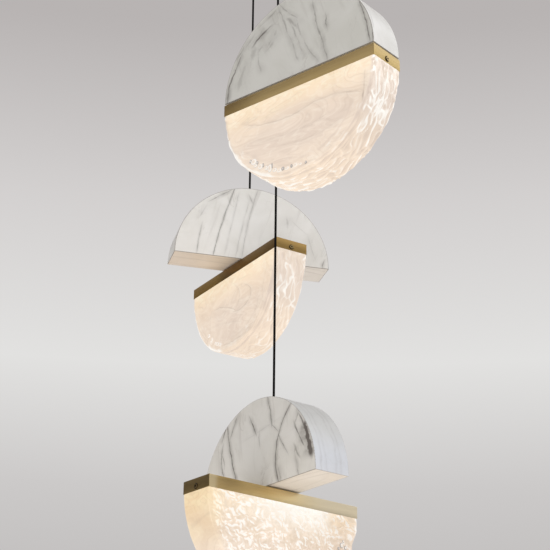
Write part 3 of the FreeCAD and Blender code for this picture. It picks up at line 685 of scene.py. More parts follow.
def place(points, hinge, heading):
    """Turns points of a drop's own frame by its heading and sets them under its cord, in metres."""
    cosine, sine = math.cos(math.radians(heading)), math.sin(math.radians(heading))
    return points @ np.array([[cosine, sine, 0], [-sine, cosine, 0], [0, 0, 1]]) * MM + np.array(hinge)


def make_piece(name, points, quads, material, body, node, values=None, sharp=35):
    """Mesh piece from points in metres. Poles and seams are merged and faces turned outwards."""
    mesh = bpy.data.meshes.new(name)
    mesh.from_pydata(points.reshape(-1, 3).tolist(), [], quads.tolist())
    for key, field in (values or {}).items():
        mesh.attributes.new(key, "FLOAT", "POINT").data.foreach_set("value", field.ravel())
    work = bmesh.new()
    work.from_mesh(mesh)
    bmesh.ops.remove_doubles(work, verts=work.verts, dist=SAME_POINT)
    bmesh.ops.dissolve_degenerate(work, edges=work.edges, dist=SHORTEST_EDGE)
    bmesh.ops.recalc_face_normals(work, faces=work.faces)
    work.to_mesh(mesh)
    work.free()
    mesh.polygons.foreach_set("use_smooth", np.ones(len(mesh.polygons), bool))
    mesh.set_sharp_from_angle(angle=math.radians(sharp))
    mesh.materials.append(material)
    piece = bpy.data.objects.new(name, mesh)
    SCENE.collection.objects.link(piece)
    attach(piece, body)
    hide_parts(node)


def join_shells(*shells):
    """Several (points, quads) shells as one pair of arrays."""
    counts = np.cumsum([0] + [points.reshape(-1, 3).shape[0] for points, _ in shells])
    points = np.concatenate([points.reshape(-1, 3) for points, _ in shells])
    quads = np.concatenate([quads + start for (_, quads), start in zip(shells, counts)])
    return points, quads


# Stone


def half_moon(inset, arc_steps=96, base_steps=48):
    """Outline of the stone half, moved in by inset: an arc of the shorter radius, then the raised base line."""
    radius = STONE_RADIUS - inset
    first = math.asin(inset / radius)
    angle = np.linspace(first, math.pi - first, arc_steps)
    arc = np.stack([radius * np.cos(angle), radius * np.sin(angle)], -1)
    along = np.linspace(arc[-1, 0], arc[0, 0], base_steps + 2)[1:-1]
    return np.concatenate([arc, np.stack([along, np.full_like(along, inset)], -1)])


def slab_faces(points, rings):
    """Quads of a slab, and the mask of its glue joints, which is the last value of each ring."""
    joint = np.repeat(np.array([joint for *_, joint in rings], float)[:, None], points.shape[1], 1)
    return grid_quads(*points.shape[:2], close_columns=True), joint


def stone_slab(facing):
    """Half-moon slab: half_moon outlines carried along the section face, arris, mitre, inner face, each end drawn
    in to a middle point. facing is -1 for the front slab and 1 for the back one."""
    middle = np.array([0, SLAB_MIDDLE])
    outer, inner = half_moon(JOINT_BAND) - middle, half_moon(STONE_WALL) - middle
    rings = [(middle + share * outer, 0, 0) for share in (0, 0.35, 0.7)]
    rings += [(half_moon(inset), depth, joint) for inset, depth, joint in SLAB_SECTION]
    rings += [(middle + share * inner, STONE_WALL, 0) for share in (0.6, 0)]
    points = stacked((line + (0, STONE_LOW), facing * (STONE_HALF_DEPTH - depth)) for line, depth, _ in rings)
    return points[..., [0, 2, 1]], *slab_faces(points, rings)


def rim_band(steps=120):
    """Rim band: a mitred section carried round the half circle. Each radius starts where the 45 degree end mitre
    cuts it, so a point's angle is its start plus its share of what is left of the half turn."""
    outer, inner, deep = STONE_RADIUS, STONE_RADIUS - STONE_WALL, STONE_HALF_DEPTH
    section = [
        (inner, deep - STONE_WALL, 0),
        (outer - STONE_ARRIS, deep, 1),
        (outer, deep - STONE_ARRIS, 1),
        (outer, deep - JOINT_BAND, 0),
        (outer, deep - STONE_WALL, 0),
    ]
    section += [(radius, -depth, joint) for radius, depth, joint in reversed(section)]
    radius, depth, joint = np.array(section, float).T
    share = np.concatenate([[0, 0.0008, 0.003], np.linspace(0.02, 0.98, steps), [0.997, 0.9992, 1]])
    start = np.arcsin(np.minimum(outer / (radius * math.sqrt(2)), 1)) - math.pi / 4
    angle = start + share[:, None] * (math.pi - 2 * start)
    depth = np.broadcast_to(depth, angle.shape)
    points = np.stack([radius * np.cos(angle), depth, radius * np.sin(angle) + STONE_LOW], -1)
    end_joint = np.where((share < 0.002) | (share > 0.998), 1.0, 0.0)
    joints = np.maximum(joint, end_joint[:, None]) * (radius > inner)
    count = len(section)
    cap = np.array([[n, n + 1, count - 2 - n, count - 1 - n] for n in range(count // 2 - 1)])
    last = (len(share) - 1) * count
    quads = np.concatenate([grid_quads(len(share), count, close_columns=True), cap, cap[:, ::-1] + last])
    return points, quads, joints


def rectangle(half_length, half_width, inset, steps=(40, 10)):
    """Rectangle outline moved in by inset, as points along its four sides."""
    x, y = half_length - inset, half_width - inset
    along, across = (np.linspace(-1, 1, count, endpoint=False) for count in steps)
    one, other = np.ones_like(along), np.ones_like(across)
    sides = ((along * x, -one * y), (other * x, across * y), (-along * x, one * y), (-other * x, -across * y))
    return np.concatenate([np.stack(side, -1) for side in sides])


def base_slab():
    """Base slab: rectangles carried along the section underside, arris, mitre, upper side."""
    size = STONE_RADIUS, STONE_HALF_DEPTH
    rings = [(rectangle(*size, JOINT_BAND) * share, 0, 0) for share in (0, 0.5)]
    rings += [(rectangle(*size, inset), rise, joint) for inset, rise, joint in SLAB_SECTION]
    rings += [(rectangle(*size, STONE_WALL) * 0, STONE_WALL, 0)]
    points = stacked((line, STONE_LOW + rise) for line, rise, _ in rings)
    return points, *slab_faces(points, rings)


def lay_stone(side):
    """The four bonded slabs of one stone half."""
    hinge, heading = HINGE[side], STONE_HEADING[side]
    slabs = {
        "front": (stone_slab(-1), FRONT_VEINS[side], FRONT_WANDER[side], heading, 0, FRONT_LEAN[side], 1.0),
        "back": (stone_slab(1), BACK_VEINS, VEIN_WANDER, heading, 0, 0.1, 1.0),
        "rim": (rim_band(), RIM_VEINS[side], VEIN_WANDER, heading + 90, 0, 0.0, RIM_VEIL[side]),
        "base": (base_slab(), BASE_VEINS, BASE_WANDER, heading + 90, 90, 0.0, 0.5),
    }
    for label, ((points, quads, joint), veins, wander, turn, tip, lean, quiet) in slabs.items():
        node = f"{side}_stone_{label}"
        tone, joints = STONE_PAINTED_LIGHT.get(node, NO_PAINTED_LIGHT), SOFT_JOINTS.get(node, JOINT_SHARE)
        finish = marble(f"{node}_marble", hinge, turn, veins, wander, tip, lean, quiet, tone, joints)
        points = place(points, hinge, heading)
        make_piece(f"{node}_slab", points, quads, finish, ROOT, node, {"joint": joint}, sharp=30)


# Brass channel


def ring_like(outline, radius):
    """Circle points in the same directions as an outline's points."""
    return outline / np.linalg.norm(outline, axis=1, keepdims=True) * radius


def channel_shell():
    """Folded channel: rectangles carried along the section top, outer wall, lower lip, inner wall, underside, and
    closed round the stem hole. The stop stud stands on it as a turned pin."""
    edge, near, wall, low = CHANNEL_EDGE, EDGE_MIDDLE, CHANNEL_WALL, -CHANNEL_HEIGHT
    outside = ((edge, 0), (near, -near), (0, -edge), (0, low + edge), (near, low + near), (edge, low))
    inside = ((wall - edge, low), (wall, low + edge), (wall, -wall))
    rings = [(rectangle(DISC_RADIUS, HALF_DEPTH, inset), z) for inset, z in outside + inside]
    hole = ring_like(rings[0][0], STEM_HOLE)
    tray = stacked([(hole, 0), *rings, (hole, -wall)])
    stud = turned(STUD_RADII, STUD_LEVELS, full_turn(STUD_STEPS)) + (STUD_OFFSET, 0, 0)
    return join_shells(
        (tray, grid_quads(*tray.shape[:2], close_rows=True, close_columns=True)),
        (stud, grid_quads(*stud.shape[:2], close_columns=True)),
    )


# Glass

# Lengths of the relief's patterns: on the rim along the arc and across it, on the faces along the axes.
BEND_LENGTHS = (34, 26)
BEAT_LENGTHS = (24, 18)
CELL_LENGTHS = (32, 11)
FOLD_LENGTHS = (28, 8)
FLOW_LENGTHS = (95, 6.5)
SWELL_LENGTHS = (74, 60, 40)
ICE_LENGTH = 11
ICE_BEND_LENGTH = 21
# Heights of the relief.
RIM_RISE = 1.5
ICE_RISE = 1.1
SWELL_RISE = 0.9
DRIFT_RISE = 0.6
# How far apart two heights are compared to find the slope towards the light.
LIGHT_STEP = 0.9
ICE_LIGHT = np.array([0.7, 0, 1]) * LIGHT_STEP


def lattice_noise(points, seed):
    """Gradient noise: each lattice corner has a random slope, and the eight round a point are blended smoothly."""
    draw = np.random.default_rng(seed)
    size = 256
    slopes = draw.normal(size=(size, 3))
    slopes /= np.linalg.norm(slopes, axis=1, keepdims=True)
    order = draw.permutation(size)
    cell = np.floor(points).astype(int)
    inside = points - cell
    fade = inside**3 * (inside * (inside * 6 - 15) + 10)
    total = np.zeros(points.shape[:-1])
    for corner in itertools.product((0, 1), repeat=3):
        at = cell + corner
        pick = order[at[..., 0] % size]
        pick = order[(pick + at[..., 1]) % size]
        pick = order[(pick + at[..., 2]) % size]
        weight = np.prod(np.where(np.array(corner) == 1, fade, 1 - fade), -1)
        total += weight * np.sum(slopes[pick] * (inside - corner), -1)
    return total


def cell_field(places, seed, width=0.5):
    """Cells round random seed points, one in each unit square. Gives the ridges, which stand where the two nearest
    seed points are equally far, and a random tone of each cell, blended across its edges."""
    size = 128
    draw = np.random.default_rng(seed)
    jitter = draw.uniform(0.1, 0.9, (size, size, 2))
    tones = draw.uniform(-1, 1, (size, size))
    cell = np.floor(places).astype(int)
    near = np.full(places.shape[:-1], 9.0)
    second = near.copy()
    tone = np.zeros_like(near)
    next_tone = np.zeros_like(near)
    for offset in itertools.product((-1, 0, 1), repeat=2):
        at = cell + offset
        row, column = at[..., 0] % size, at[..., 1] % size
        away = np.linalg.norm(at + jitter[row, column] - places, axis=-1)
        other = tones[row, column]
        closer = away < near
        next_tone = np.where(closer, tone, np.where(away < second, other, next_tone))
        tone = np.where(closer, other, tone)
        second = np.minimum(second, np.maximum(near, away))
        near = np.minimum(near, away)
    edge = second - near
    inside = 0.5 + 0.5 * step(edge, 0.0, 0.3)
    return 1 - step(edge, 0.0, width), inside * tone + (1 - inside) * next_tone


def layered_noise(points, octaves, seed):
    """Sum of noise layers, each half as large and twice as fine."""
    layers = range(octaves)
    return sum(lattice_noise(points * 2**layer + 17.3 * layer, seed + layer) / 2**layer for layer in layers)


def step(value, low, high):
    """Smooth step of a value from 0 at low to 1 at high."""
    share = np.clip((value - low) / (high - low), 0, 1)
    return share * share * (3 - 2 * share)


def ridge(value, middle, width):
    """Smooth ridge: 1 at the middle, falling away to both sides."""
    return np.exp(-(((value - middle) / width) ** 2))


def glass_section(angle, face_steps=96, round_steps=9, rim_steps=40):
    """Radius and depth along the section at each angle: front face from the middle out, round, rim, round, back
    face. The round grows from the channel down."""
    rounding = GLASS_LIP_ROUND + (GLASS_ROUND - GLASS_LIP_ROUND) * step(np.sin(angle), 0.0, 0.3)
    face = np.linspace(0, 1, face_steps) * (DISC_RADIUS - rounding)
    corner = np.linspace(0, math.pi / 2, round_steps + 2)[1:-1]
    turn_radius = DISC_RADIUS - rounding + rounding * np.sin(corner)
    turn_depth = rounding - HALF_DEPTH - rounding * np.cos(corner)
    rim_depth = np.linspace(-1, 1, rim_steps) * (HALF_DEPTH - rounding)
    radius = [face, turn_radius, np.full_like(rim_depth, DISC_RADIUS), turn_radius[:, ::-1], face[:, ::-1]]
    flat = np.full_like(face, HALF_DEPTH)
    depth = [-flat, turn_depth, rim_depth, -turn_depth[:, ::-1], flat]
    return np.concatenate(radius, 1), np.concatenate(depth, 1)


def ridged(points, seed):
    """Noise folded at its middle level, so that its level lines become crests."""
    return 1 - np.abs(lattice_noise(points, seed)) * 3.4


def ice_places(points, seed):
    """Places in the ice pattern: the points in units of one crest, bent by two slow noises."""
    bend_x = layered_noise(points / ICE_BEND_LENGTH + 4.7, 2, seed + 20)
    bend_z = layered_noise(points / ICE_BEND_LENGTH - 9.1, 2, seed + 30)
    return points / ICE_LENGTH + 0.9 * np.stack([bend_x, 0 * bend_x, bend_z], -1)


def ice_height(points, seed):
    """Hammered ice: two sizes of bent crests over soft lumps."""
    bent = ice_places(points, seed)
    lumps = lattice_noise(1.3 * bent + 31, seed + 50)
    return ridged(bent + 50, seed + 40) + 0.55 * ridged(1.9 * bent + 11, seed + 45) + 1.2 * lumps - 0.95


def ice_facets(points, seed):
    """Painted facet shading of the ice: a random brightness for each of two sizes of bent cells."""
    bent = ice_places(points, seed)[..., [0, 2]]
    large, small = cell_field(1.1 * bent + 60, seed + 70)[1], cell_field(2.1 * bent + 80, seed + 75)[1]
    return 0.45 * large + 0.4 * small


def rim_places(arc, across, lengths, level=0.0, bend=0.0, pull=(1, 1)):
    """Places in a pattern round the rim, in units of its lengths, each pulled along by a bend."""
    x, y = arc / lengths[0] + pull[0] * bend, across / lengths[1] + pull[1] * bend
    return np.stack([x, y, 0 * across + level], -1)


def rim_height(arc, y, bend, seed):
    """Rim waves: long cells with raised edges round the arc, crossed by folds."""
    cells = rim_places(arc, y, CELL_LENGTHS, 0, bend, (1, 1.3))[..., :2] + (0, 40)
    edge, patch = cell_field(cells, seed + 5, 0.4)
    fold = ridged(rim_places(arc, y, FOLD_LENGTHS, 0, bend), seed + 7)
    return 0.9 * edge + 0.35 * fold + 0.45 * patch - 0.55


def glass_shell(ice_side, seed, smooth_end, rim_depth, highlight_share):
    """Cast half disc: the section turned through the lower half circle, then moved along its normal by the relief.
    The rim has waves, one face crests like hammered ice, the other a slow swell, and beside the front edge long flow
    lines follow the arc. The tone of the relief is painted light and shade: its height, which lights the crests and
    shades the hollows, plus its slope towards the light in the channel, with painted highlights on the rim and beside
    the lip and painted shade in the groove. The front edge has painted shade on one side of the rim and a painted
    highlight on the other."""
    angle = np.linspace(0, math.pi, GLASS_STEPS)[:, None]
    radius, y = glass_section(angle)
    x, below = radius * np.cos(angle), radius * np.sin(angle)
    slope_r, slope_y = np.gradient(radius, axis=1), np.gradient(y, axis=1)
    size = np.hypot(slope_r, slope_y)
    out_r, out_y = slope_y / size, -slope_r / size
    normal = np.stack([out_r * np.cos(angle), out_y, -out_r * np.sin(angle)], -1)
    points = np.stack([x, y, -CHANNEL_HEIGHT - below], -1)
    face = step(np.abs(y), HALF_DEPTH - 0.6 * GLASS_ROUND, HALF_DEPTH - 0.02)
    face = face * step(-radius, 1 - DISC_RADIUS, 8 - DISC_RADIUS)
    ice, smooth = face * (np.sign(y) == ice_side), face * (np.sign(y) == -ice_side)
    quiet = 1.0 if smooth_end is None else 1 - 0.85 * step(smooth_end * x, 60, 130)
    rim = (1 - face) * quiet

    arc = DISC_RADIUS * np.broadcast_to(angle, x.shape)
    across = radius - DISC_RADIUS + y + HALF_DEPTH
    bend = layered_noise(rim_places(arc, y, BEND_LENGTHS, 3.1), 2, seed)
    beat = layered_noise(rim_places(arc, y, BEAT_LENGTHS, 8), 2, seed + 9)
    waves = rim_height(arc, y, bend, seed) + 0.8 * beat
    wave_slope = rim_height(arc, y + LIGHT_STEP, bend, seed) - rim_height(arc, y - LIGHT_STEP, bend, seed)
    flow_lines = ridged(rim_places(arc, across, FLOW_LENGTHS, 0, bend, (0.6, 1)), seed + 8)
    flow = 0.7 * flow_lines - 0.35 + 0.6 * beat
    beside_edge = step(across, -45, -10) * (1 - step(across, 4, 24)) * step(below, 40, 95)
    calm = 1 - 0.8 * beside_edge
    groove = ridge(across, 8, 2.5) * step(below, 60, 110)
    rim_relief = rim_depth * (calm * waves + beside_edge * flow) - 0.7 * groove

    # Painted highlight on the rim, painted shade along one side of the front lip and a painted highlight along the
    # other.
    rim_highlight = ridge(below - 0.32 * across, 60, 11) * step(across, 2, 12) * (1 - step(across, 46, 62))
    lip_shade = ridge(across, -1, 3) * step(below, 35, 55) * (1 - step(below, 95, 115)) * step(x, -40, 40)
    lip_highlight = ridge(across, -2, 3.5) * step(below, 15, 50) * step(-x, 10, 70)
    # Tone of the rim: painted light from its waves' height and slope, the painted highlights, and painted shade in
    # the groove and on the lip.
    rim_tone = rim_depth * (calm * (0.75 * waves + 0.8 * wave_slope) + beside_edge * flow)
    rim_tone += highlight_share * rim_highlight - 0.8 * groove - 0.9 * lip_shade + 0.8 * lip_highlight

    # The ice's tone is painted light: its height, its slope towards the light and its facet shading.
    ice_relief = ice_height(points, seed)
    ice_slope = ice_height(points + ICE_LIGHT, seed) - ice_height(points - ICE_LIGHT, seed)
    ice_tone = 0.4 * ice_relief + 1.2 * ice_slope + ice_facets(points, seed) + 0.1
    swell = layered_noise(points / np.array(SWELL_LENGTHS) + 2.2, 2, seed + 60)
    drift = smooth * beside_edge * flow

    height = RIM_RISE * rim * rim_relief + ICE_RISE * ice * ice_relief
    height += SWELL_RISE * smooth * swell + DRIFT_RISE * drift
    points = points + normal * (height * step(below, 0.5, 9))[..., None]
    # Painted light and shade of the relief, carried as the relief value.
    tone = 0.5 + 0.5 * (rim * rim_tone + ice * ice_tone + drift)
    smooth = np.maximum(smooth, (1 - face) * (1 - quiet))
    rows, columns = x.shape
    pair = np.arange(columns // 2 - 1)
    lid = np.stack([pair, pair + 1, columns - 2 - pair, columns - 1 - pair], -1)
    quads = np.concatenate([grid_quads(rows, columns), lid, lid + (rows - 1) * columns])
    return points, quads, np.clip(tone, 0, 1), smooth, ice


def neck_block():
    """Neck inside the channel: rectangles carried up from just under the lip and closed at both ends."""
    outline = rectangle(NECK_HALF_LENGTH, NECK_HALF_WIDTH, 0, (6, 4))
    rings = ((0, NECK_LOW), (1, NECK_LOW), (1, NECK_TOP - 1), (0.99, NECK_TOP), (0, NECK_TOP))
    points = stacked((outline * share, z) for share, z in rings)
    return points, grid_quads(*points.shape[:2], close_columns=True)


def bead_shells(beads):
    """Bubbles in the front face: ellipsoids x = a sin v cos u, y = b cos v, z = c sin v sin u, each half sunk. Their
    painted shade darkens towards the edge: a pale bubble, which carries a painted highlight, less, and a hollow one
    is dark all over."""
    turn, tilt = full_turn(BEAD_TURN_STEPS), np.linspace(0, math.pi, BEAD_TILT_STEPS)[:, None]
    ball = np.stack([np.sin(tilt) * np.cos(turn), np.cos(tilt) + 0 * turn, np.sin(tilt) * np.sin(turn)], -1)
    x, z, wide, high, dark = np.array(beads, float).T
    half_size = np.stack([wide, np.minimum(0.5 * wide, BEAD_RISE), high], -1)
    middle = np.stack([x, np.full_like(x, -HALF_DEPTH - BEAD_STAND), z], -1)
    points = middle[:, None, None] + ball * half_size[:, None, None]
    start = ball[..., 0].size * np.arange(len(x))[:, None, None]
    quads = grid_quads(len(tilt), len(turn), close_columns=True) + start
    dark = dark[:, None, None]
    shade = np.broadcast_to(0.2 + 0.8 * np.sin(tilt), points.shape[:-1])
    return points, quads.reshape(-1, 4), np.maximum(dark, 0) + (1 - np.abs(dark)) * shade


# Bubbles in each front face: x, z, half width, half height, and how dark their painted shade is, or how pale their
# painted highlight where negative.
BEADS = {
    "right": (
        (-84, -124, 6.0, 5.5, -0.25), (-91, -121, 2.4, 3.2, 0.4),
        (-80, -132, 4.2, 3.0, -0.2), (-77, -128, 2.4, 3.4, 0.5),
        (-70, -137, 5.2, 4.4, -0.25), (-65, -136, 1.9, 4.0, 0.5),
        (-58, -143, 3.2, 4.2, -0.2), (-51, -146, 4.4, 7.2, -0.25),
        (-47, -143, 1.7, 5.0, 0.6), (-41, -152, 4.4, 3.4, -0.25),
        (-32, -156, 5.4, 2.8, -0.3), (-25, -155, 3.2, 3.4, 0.6),
        (-17, -157, 4.6, 2.6, -0.3), (-8, -156, 2.4, 3.2, 0.7),
        (0, -157, 3.6, 2.4, -0.35), (9, -158, 3.0, 1.8, -0.35),
        (20, -159, 2.2, 2.8, 0.6),
    ),
    "centre": (
        (115, -69, 3.6, 4.4, 0), (123, -72, 2.8, 3.6, 0.3),
        (109, -75, 2.6, 3.0, 0.6), (119, -62, 2.0, 2.4, 0),
    ),
    "left": (
        (-84, -118, 4.2, 3.6, -0.35), (-73, -130, 3.0, 3.4, -0.35),
        (-58, -141, 4.0, 2.8, -0.3), (-50, -145, 5.0, 3.6, -0.3),
        (-41, -149, 4.0, 2.8, -0.3),
    ),
}
BEAD_RISE = 1.3
BEAD_STAND = 0.6
BEAD_TURN_STEPS = 16
BEAD_TILT_STEPS = 9
# Share of painted shade on each channel, towards shaded brass.
BRASS_PAINTED_SHADE = by_side(0.06, 0.0, 1.0)
# Painted light and shade of each channel: where along X each starts and is full, its share, and its colour.
BRASS_PAINTED_LIGHT = {
    "right": ((148, 149.5, 0.72, (0.45, 0.33, 0.13)), (-60, -150, 0.55, SHADED_BRASS)),
    "centre": (
        (-45, -8, 0.3, (0.9, 0.77, 0.46)),
        (-20, 90, 0.8, (0.6, 0.54, 0.42)),
        (-60, -115, 0.25, (0.42, 0.28, 0.11)),
        (-149.5, -149.9, 0.35, SHADED_BRASS),
    ),
    "left": ((148, 149.5, 0.65, (0.56, 0.37, 0.135)), (-15, -70, 0.5, (0.66, 0.41, 0.105))),
}
# Share of the painted highlight beside the corner of each channel.
BRASS_CORNER_HIGHLIGHT = by_side(0.0, 0.5, 0.0)
# Oval swirl in each smooth face: middle x and z, half length, half height, and tilt.
SWIRL = {
    "right": (-8, -96, 104, 44, -8),
    "centre": (0, -90, 100, 46, 6),
    "left": (-14, -112, 66, 44, 20),
}
WARM_END = by_side(0.0, 0.6, 0.0)
# Side of the hammered face, seed, which end of the rim is smooth, depth of the rim's waves, and the share of its
# painted highlight.
GLASS_SIDES = {
    "right": (1, 11, None, 1.0, 0.9),
    "centre": (-1, 47, -1, 1.0, 0.4),
    "left": (1, 83, None, 0.65, 0.2),
}


def hang_glass(side):
    """Channel and glass of one drop, on the swivelling body."""
    hinge, heading, body = HINGE[side], GLASS_HEADING[side], f"{side}_glass"
    points, quads = channel_shell()
    # Painted shade, painted light and shade, and corner highlight of this channel.
    tone = BRASS_PAINTED_SHADE[side], BRASS_PAINTED_LIGHT[side], BRASS_CORNER_HIGHLIGHT[side]
    finish = brass(f"{side}_channel_brass", hinge, heading, *tone)
    points = place(points, hinge, heading)
    make_piece(f"{side}_channel_tray", points, quads, finish, body, f"{side}_channel", sharp=25)

    ice_side, seed, smooth_end, rim_depth, highlight_share = GLASS_SIDES[side]
    points, quads, relief, smooth, ice = glass_shell(ice_side, seed, smooth_end, rim_depth, highlight_share)
    *beads, bead_shade = bead_shells(BEADS[side])
    points, quads = join_shells((points, quads), neck_block(), beads)
    extra = len(points) - relief.size
    values = {
        "relief": np.concatenate([relief.ravel(), np.full(extra, 0.5)]),
        "smooth_face": np.concatenate([smooth.ravel(), np.zeros(extra)]),
        "ice_face": np.concatenate([ice.ravel(), np.zeros(extra)]),
        "bead_shading": np.concatenate([np.zeros(len(points) - bead_shade.size), bead_shade.ravel()]),
    }
    lines = LEVEL_LINES[side], UPRIGHT_LINES[side], END_LINES[side]
    finish = cast_glass(f"{side}_cast_glass", hinge, heading, seed, *lines, WARM_END[side], SWIRL[side])
    points = place(points, hinge, heading)
    make_piece(
        f"{side}_glass_cast", points, quads, finish, body, f"{side}_glass_half", values, sharp=50
    )


# Cords


def hang_cord(side):
    """Taut cord from its grip in the canopy to its anchor inside the stone."""
    x, _, top = HINGE[side]
    low, high = top + CORD_BELOW_TOP * MM, CORD_TOP * MM
    curve = bpy.data.curves.new(f"{side}_cord_line", "CURVE")
    curve.dimensions = "3D"
    curve.bevel_depth = CORD_RADIUS * MM
    curve.bevel_resolution = 5
    spline = curve.splines.new("NURBS")
    levels = (high, high - CORD_POINT * MM, low + CORD_POINT * MM, low)
    spline.points.add(len(levels) - 1)
    for point, z in zip(spline.points, levels):
        point.co = (x, 0, z, 1)
    spline.order_u = 3
    spline.use_endpoint_u = True
    curve.materials.append(braided(f"{side}_cord_sheath", (x, 0, 0)))
    cord = bpy.data.objects.new(f"{side}_cord_line", curve)
    SCENE.collection.objects.link(cord)
    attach(cord, ROOT)
    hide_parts(f"{side}_cord")


for side in SIDES:
    hang_cord(side)
    lay_stone(side)
    hang_glass(side)


# Pieces that keep their solid shape

FINISHES = {
    "brass": brass("canopy_brass", (0, 0, 0), 0),
    "steel": metal("plated_steel", (0.42, 0.42, 0.43), (0.62, 0.62, 0.62), 0.28),
    "aluminium": metal("plain_aluminium", (0.68, 0.68, 0.69), (0.85, 0.85, 0.86), 0.34),
    "black_nylon": moulded("black_nylon", (0.008, 0.008, 0.008), (0.022, 0.022, 0.022), 0.42, 0.15),
    "light_board": moulded("light_board_mask", (0.8, 0.8, 0.76), (0.92, 0.92, 0.88), 0.4, 0.1),
    "silicone": moulded("clear_silicone", (0.7, 0.7, 0.7), (0.85, 0.85, 0.85), 0.3, 0.05),
    "driver_case": moulded("driver_case_plastic", (0.78, 0.78, 0.77), (0.88, 0.88, 0.87), 0.5, 0.3),
    "white_plastic": moulded("terminal_plastic", (0.74, 0.74, 0.72), (0.88, 0.88, 0.86), 0.4, 0.2),
}
NODE_FINISHES = {"cover_screws": socket_screw("cover_screw_head", (0, 0, COVER_SCREW_LEVEL * MM), 0)}
# Blackened steel for the support flanges and stem washers, kept dark so that the gap under each stone shows as
# painted shade.
BLACKENED_GAP_SHADE = metal("blackened_steel_gap_shade", (0.015, 0.015, 0.016), (0.04, 0.04, 0.042), 0.4)
for side in SIDES:
    x, y, z = HINGE[side]
    axis = (x, y, z - SCREW_BELOW_TOP * MM)
    NODE_FINISHES[f"{side}_end_screws"] = socket_screw(f"{side}_screw_head", axis, GLASS_HEADING[side])
    NODE_FINISHES[f"{side}_support_flange"] = BLACKENED_GAP_SHADE
    NODE_FINISHES[f"{side}_stem_washers"] = BLACKENED_GAP_SHADE
for part in RECORD["subparts"]:
    node = part["node"]
    finish = NODE_FINISHES.get(node) or FINISHES.get(part["material_slot"])
    if finish:
        for holder in NODES[node].material_slots:
            holder.material = finish


# Floor, studio light and background

FLOOR_LEVEL = -2.6
FLOOR_RINGS = (0.001, 2, 5, 9)
FLOOR_STEPS = 96
FLAG_REACH = 2.5
FLAG_GRID = (4, 24)
FLAG_LEVELS = (-1.3, 1.6)
CARD_REACH = 2.4
CARD_GRID = (3, 12)
# Sky from straight down, by way of the horizon at a half, to overhead.
SKY_STOPS = (
    (0.0, (0.55, 0.54, 0.535)),
    (0.6, (0.53, 0.515, 0.51)),
    (0.632, (0.6, 0.585, 0.58)),
    (0.672, (0.76, 0.755, 0.745)),
    (0.722, (0.65, 0.63, 0.625)),
    (0.772, (0.48, 0.455, 0.45)),
    (1.0, (0.44, 0.43, 0.42)),
)


def stage_finish(name, socket, scale, detail, dark, light, **sockets):
    """Plain finish with a faint cloudy tone on one socket."""
    material, shader = new_material(name, **sockets)
    feed(shader, {socket: blend_colour(noise(object_place(shader), scale, detail), dark, light)})
    return material


def set_stage(name, points, material, close=False, mirrored=False):
    """Stage object. A mirrored one is seen only in reflections."""
    mesh = bpy.data.meshes.new(name)
    quads = grid_quads(*points.shape[:2], close_columns=close)
    mesh.from_pydata(points.reshape(-1, 3).tolist(), [], quads.tolist())
    mesh.materials.append(material)
    thing = bpy.data.objects.new(name, mesh)
    if mirrored:
        thing.visible_camera = thing.visible_diffuse = thing.visible_shadow = thing.visible_transmission = False
    SCENE.collection.objects.link(thing)


def lay_floor():
    """Round pale floor: a fan of rings."""
    points = turned(FLOOR_RINGS, [FLOOR_LEVEL] * len(FLOOR_RINGS), full_turn(FLOOR_STEPS))
    dark, light = (0.76, 0.76, 0.755), (0.82, 0.82, 0.815)
    set_stage("floor", points, stage_finish("pale_floor", "Base Color", 0.8, 3.0, dark, light, Roughness=0.7), True)


def soft_panel(name, where, aim, width, height, power, colour=(1, 1, 1)):
    """Soft rectangular light."""
    lamp = bpy.data.lights.new(name, "AREA")
    lamp.shape = "RECTANGLE"
    lamp.size, lamp.size_y = width, height
    lamp.energy = power
    lamp.color = colour
    panel = bpy.data.objects.new(name, lamp)
    panel.location = where
    panel.rotation_euler = (Vector(aim) - Vector(where)).to_track_quat("-Z", "Y").to_euler()
    panel.visible_camera = False
    SCENE.collection.objects.link(panel)


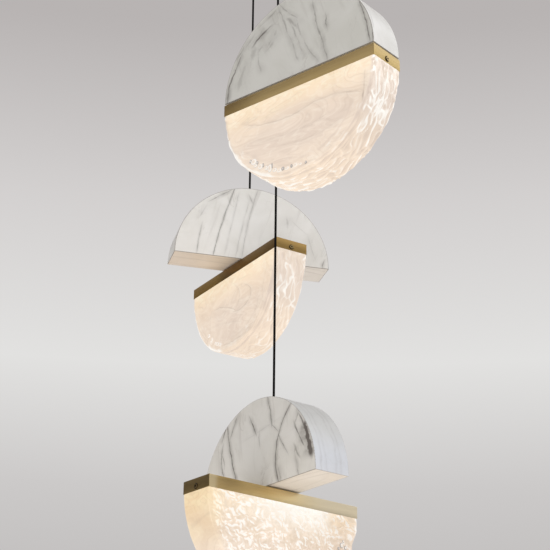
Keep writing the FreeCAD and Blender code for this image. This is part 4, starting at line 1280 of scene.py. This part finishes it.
def hang_strip(name, reach, grid, levels, angles, finish):
    """Upright strip of a cylinder round the row, which only reflections see."""
    rows, columns = grid
    angle = np.radians(np.linspace(*angles, columns))
    set_stage(name, turned([reach] * rows, np.linspace(*levels, rows), angle), finish, mirrored=True)


def hang_flag(name, first, last, tone):
    """Dark cloth flag."""
    dark, light, cloth = (0.8 * tone,) * 3, (1.2 * tone,) * 3, {"Roughness": 0.9, "Specular_IOR_Level": 0}
    finish = stage_finish(f"{name}_cloth", "Base Color", 40, 2, dark, light, **cloth)
    hang_strip(name, FLAG_REACH, FLAG_GRID, FLAG_LEVELS, (first, last), finish)


def hang_card(name, first, last, low, high, glow):
    """Pale card, lit evenly."""
    dark, light, paper = (0.95, 0.95, 0.95), (1, 1, 1), {"Roughness": 0.9, "Emission_Strength": glow}
    finish = stage_finish(f"{name}_paper", "Emission Color", 6, 2, dark, light, **paper)
    hang_strip(name, CARD_REACH, CARD_GRID, (low, high), (first, last), finish)


def studio_sky():
    """Background that is lightest a little above the horizon and grey overhead."""
    world = bpy.data.worlds.new("studio")
    SCENE.world = world
    world.use_nodes = True
    tree = world.node_tree
    tree.nodes.clear()
    way = put(tree, "ShaderNodeTexCoord", "Generated", {})
    colour = ramp(split(way)[2] * 0.5 + 0.5, SKY_STOPS)
    sky = put(tree, "ShaderNodeBackground", "Background", {"Color": colour, "Strength": 1.0})
    feed(tree.nodes.new("ShaderNodeOutputWorld"), {"Surface": sky})


lay_floor()
studio_sky()
soft_panel("key_panel", (-0.1, 1.75, 0.55), (0.1, 0, -0.7), 1.9, 1.3, 8.5, (0.96, 0.98, 1))
soft_panel("front_panel", (2.7, 0.35, 1.0), (-0.1, 0, -0.65), 1.4, 1.2, 26)
soft_panel("side_panel", (1.3, -2.2, -1.8), (0, 0, -1.15), 1.4, 1.0, 6.5, (1, 0.96, 0.9))
soft_panel("floor_panel", (0.1, 0, -2.5), (0.1, 0, 0), 3.0, 3.0, 17.5, (1, 0.79, 0.59))
hang_flag("front_flag", 30, 58, 0.08)
hang_flag("back_flag", 205, 237, 0.6)
hang_flag("side_flag", 237, 267, 0.03)
hang_card("reflector", 61, 77, -1.3, -0.2, 1.15)
SCENE.view_settings.view_transform = "Standard"
